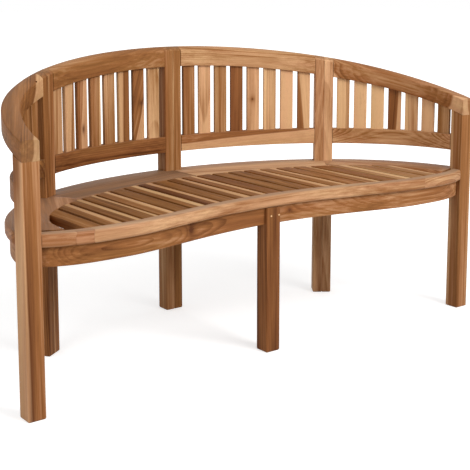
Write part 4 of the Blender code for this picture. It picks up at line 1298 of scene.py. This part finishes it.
def make_battens():
    """The battens under the seat slats."""
    end_inset = SEAT_SLAT_GAP / 2 + BATTEN_END_INSET
    for name, side in SIDES:
        piece = Piece(f"seat_battens_{name}_wood")
        for first, front_count, rear_count, rear_inset in BATTEN_SECTIONS:
            front = (front_count, FRONT_Y + FRONT_BATTEN_DEPTH)
            rear = (rear_count, OPENING_BACK - rear_inset)
            for count, depth in (front, rear):
                ends = (first * SEAT_SLAT_PITCH + end_inset, (first + count) * SEAT_SLAT_PITCH - end_inset)
                low, high = (depth, RIM_BOTTOM), (depth + BATTEN_WIDTH, LEDGE_TOP - GAP)
                section = rounded_section(low, high, (GLUE_ROUNDING,) * 4)
                rings = [[(side * x, y, z) for y, z in section] for x in ends]
                piece.loft(rings, look_of(f"batten {name} {first} {count}"), RIGHT)
        piece.finish(SEAT_WOOD)


make_end_posts()
make_plugs()
make_battens()
make_back_posts()
make_front_leg()
make_bent_boards()
make_bearer()
make_front_rim()
make_rim_boards()
make_upright_slats()
make_seat_slats()


# Studio
CAMERA_PLACE = (-1.7945, -2.4249, 1.0124)
CAMERA_HEADING = math.radians(36.955)
CAMERA_FALL = math.radians(8.267)
CAMERA_LENS_MM = 79.75
CAMERA_SHIFT = (0.0076, -0.2)
FLOOR_SIZE = 40.0
WHITE = (1.0, 1.0, 1.0, 1.0)
FLOOR_WHITE = (0.65, 0.65, 0.65, 1.0)
FLOOR_GLOW = 0.60
FLOOR_FADE = (0.9, 2.2)
WORLD_LIGHT = 0.50
# Lamps: name, place, what it is aimed at, size and power
LAMPS = (
    ("front_light", (0.9, -3.7, 2.8), (0.0, 0.0, 0.45), 2.0, 145.0),
    ("top_light", (0.4, -0.8, 3.6), (0.0, 0.0, 0.4), 2.4, 15.0),
    ("left_light", (-3.6, -1.6, 1.8), (0.0, 0.0, 0.5), 1.8, 45.0),
)


def make_camera():
    camera = linked("camera", bpy.data.cameras.new("camera"))
    camera.location = CAMERA_PLACE
    camera.rotation_euler = (QUARTER_TURN - CAMERA_FALL, 0.0, -CAMERA_HEADING)
    camera.data.lens = CAMERA_LENS_MM
    camera.data.shift_x, camera.data.shift_y = CAMERA_SHIFT
    bpy.context.scene.camera = camera


def emptied(owner):
    """The node tree of a material or a world, with nothing in it yet."""
    owner.use_nodes = True
    owner.node_tree.nodes.clear()
    return Graph(owner.node_tree)


def seen_directly(graph):
    """1 where the camera, or a reflection or glass, looks at the studio, and 0 where it gives light."""
    path = graph.node("ShaderNodeLightPath").outputs
    seen = Value(graph, path["Is Camera Ray"])
    for ray in ("Is Glossy Ray", "Is Transmission Ray"):
        seen = graph.math("MAXIMUM", seen, Value(graph, path[ray]))
    return seen


def make_floor():
    """A white floor that keeps the bench's soft shadow and turns plain white away from it."""
    bm = bmesh.new()
    bmesh.ops.create_grid(bm, x_segments=1, y_segments=1, size=FLOOR_SIZE)
    mesh = bpy.data.meshes.new("floor")
    bm.to_mesh(mesh)
    bm.free()
    material = bpy.data.materials.new("floor_paint")
    graph = emptied(material)
    place_on_floor = graph.add("ShaderNodeTexCoord", output="Object")
    away = graph.add("ShaderNodeVectorMath", {0: place_on_floor}, "Value", operation="LENGTH")
    glow = seen_directly(graph) * graph.spread(away, *FLOOR_FADE, FLOOR_GLOW, 1.0)
    paint = graph.add("ShaderNodeBsdfDiffuse", {"Color": FLOOR_WHITE})
    light = graph.add("ShaderNodeEmission", {"Color": WHITE, "Strength": glow})
    both = graph.add("ShaderNodeAddShader", {0: paint, 1: light})
    graph.node("ShaderNodeOutputMaterial", {"Surface": both})
    mesh.materials.append(material)
    linked("floor", mesh)


def make_world():
    world = bpy.data.worlds.new("studio")
    bpy.context.scene.world = world
    graph = emptied(world)
    glow = graph.add("ShaderNodeBackground", {"Color": WHITE, "Strength": WORLD_LIGHT})
    white = graph.add("ShaderNodeBackground", {"Color": WHITE, "Strength": 1.0})
    both = graph.add("ShaderNodeMixShader", {0: seen_directly(graph), 1: glow, 2: white})
    graph.node("ShaderNodeOutputWorld", {"Surface": both})


def make_lamps():
    for name, where, target, size, power in LAMPS:
        lamp = bpy.data.lights.new(name, "AREA")
        lamp.shape = "SQUARE"
        lamp.size = size
        lamp.energy = power
        obj = linked(name, lamp)
        obj.location = where
        obj.rotation_euler = (Vector(target) - Vector(where)).to_track_quat("-Z", "Y").to_euler()


make_camera()
make_floor()
make_world()
make_lamps()
bpy.context.scene.view_settings.view_transform = "Standard"
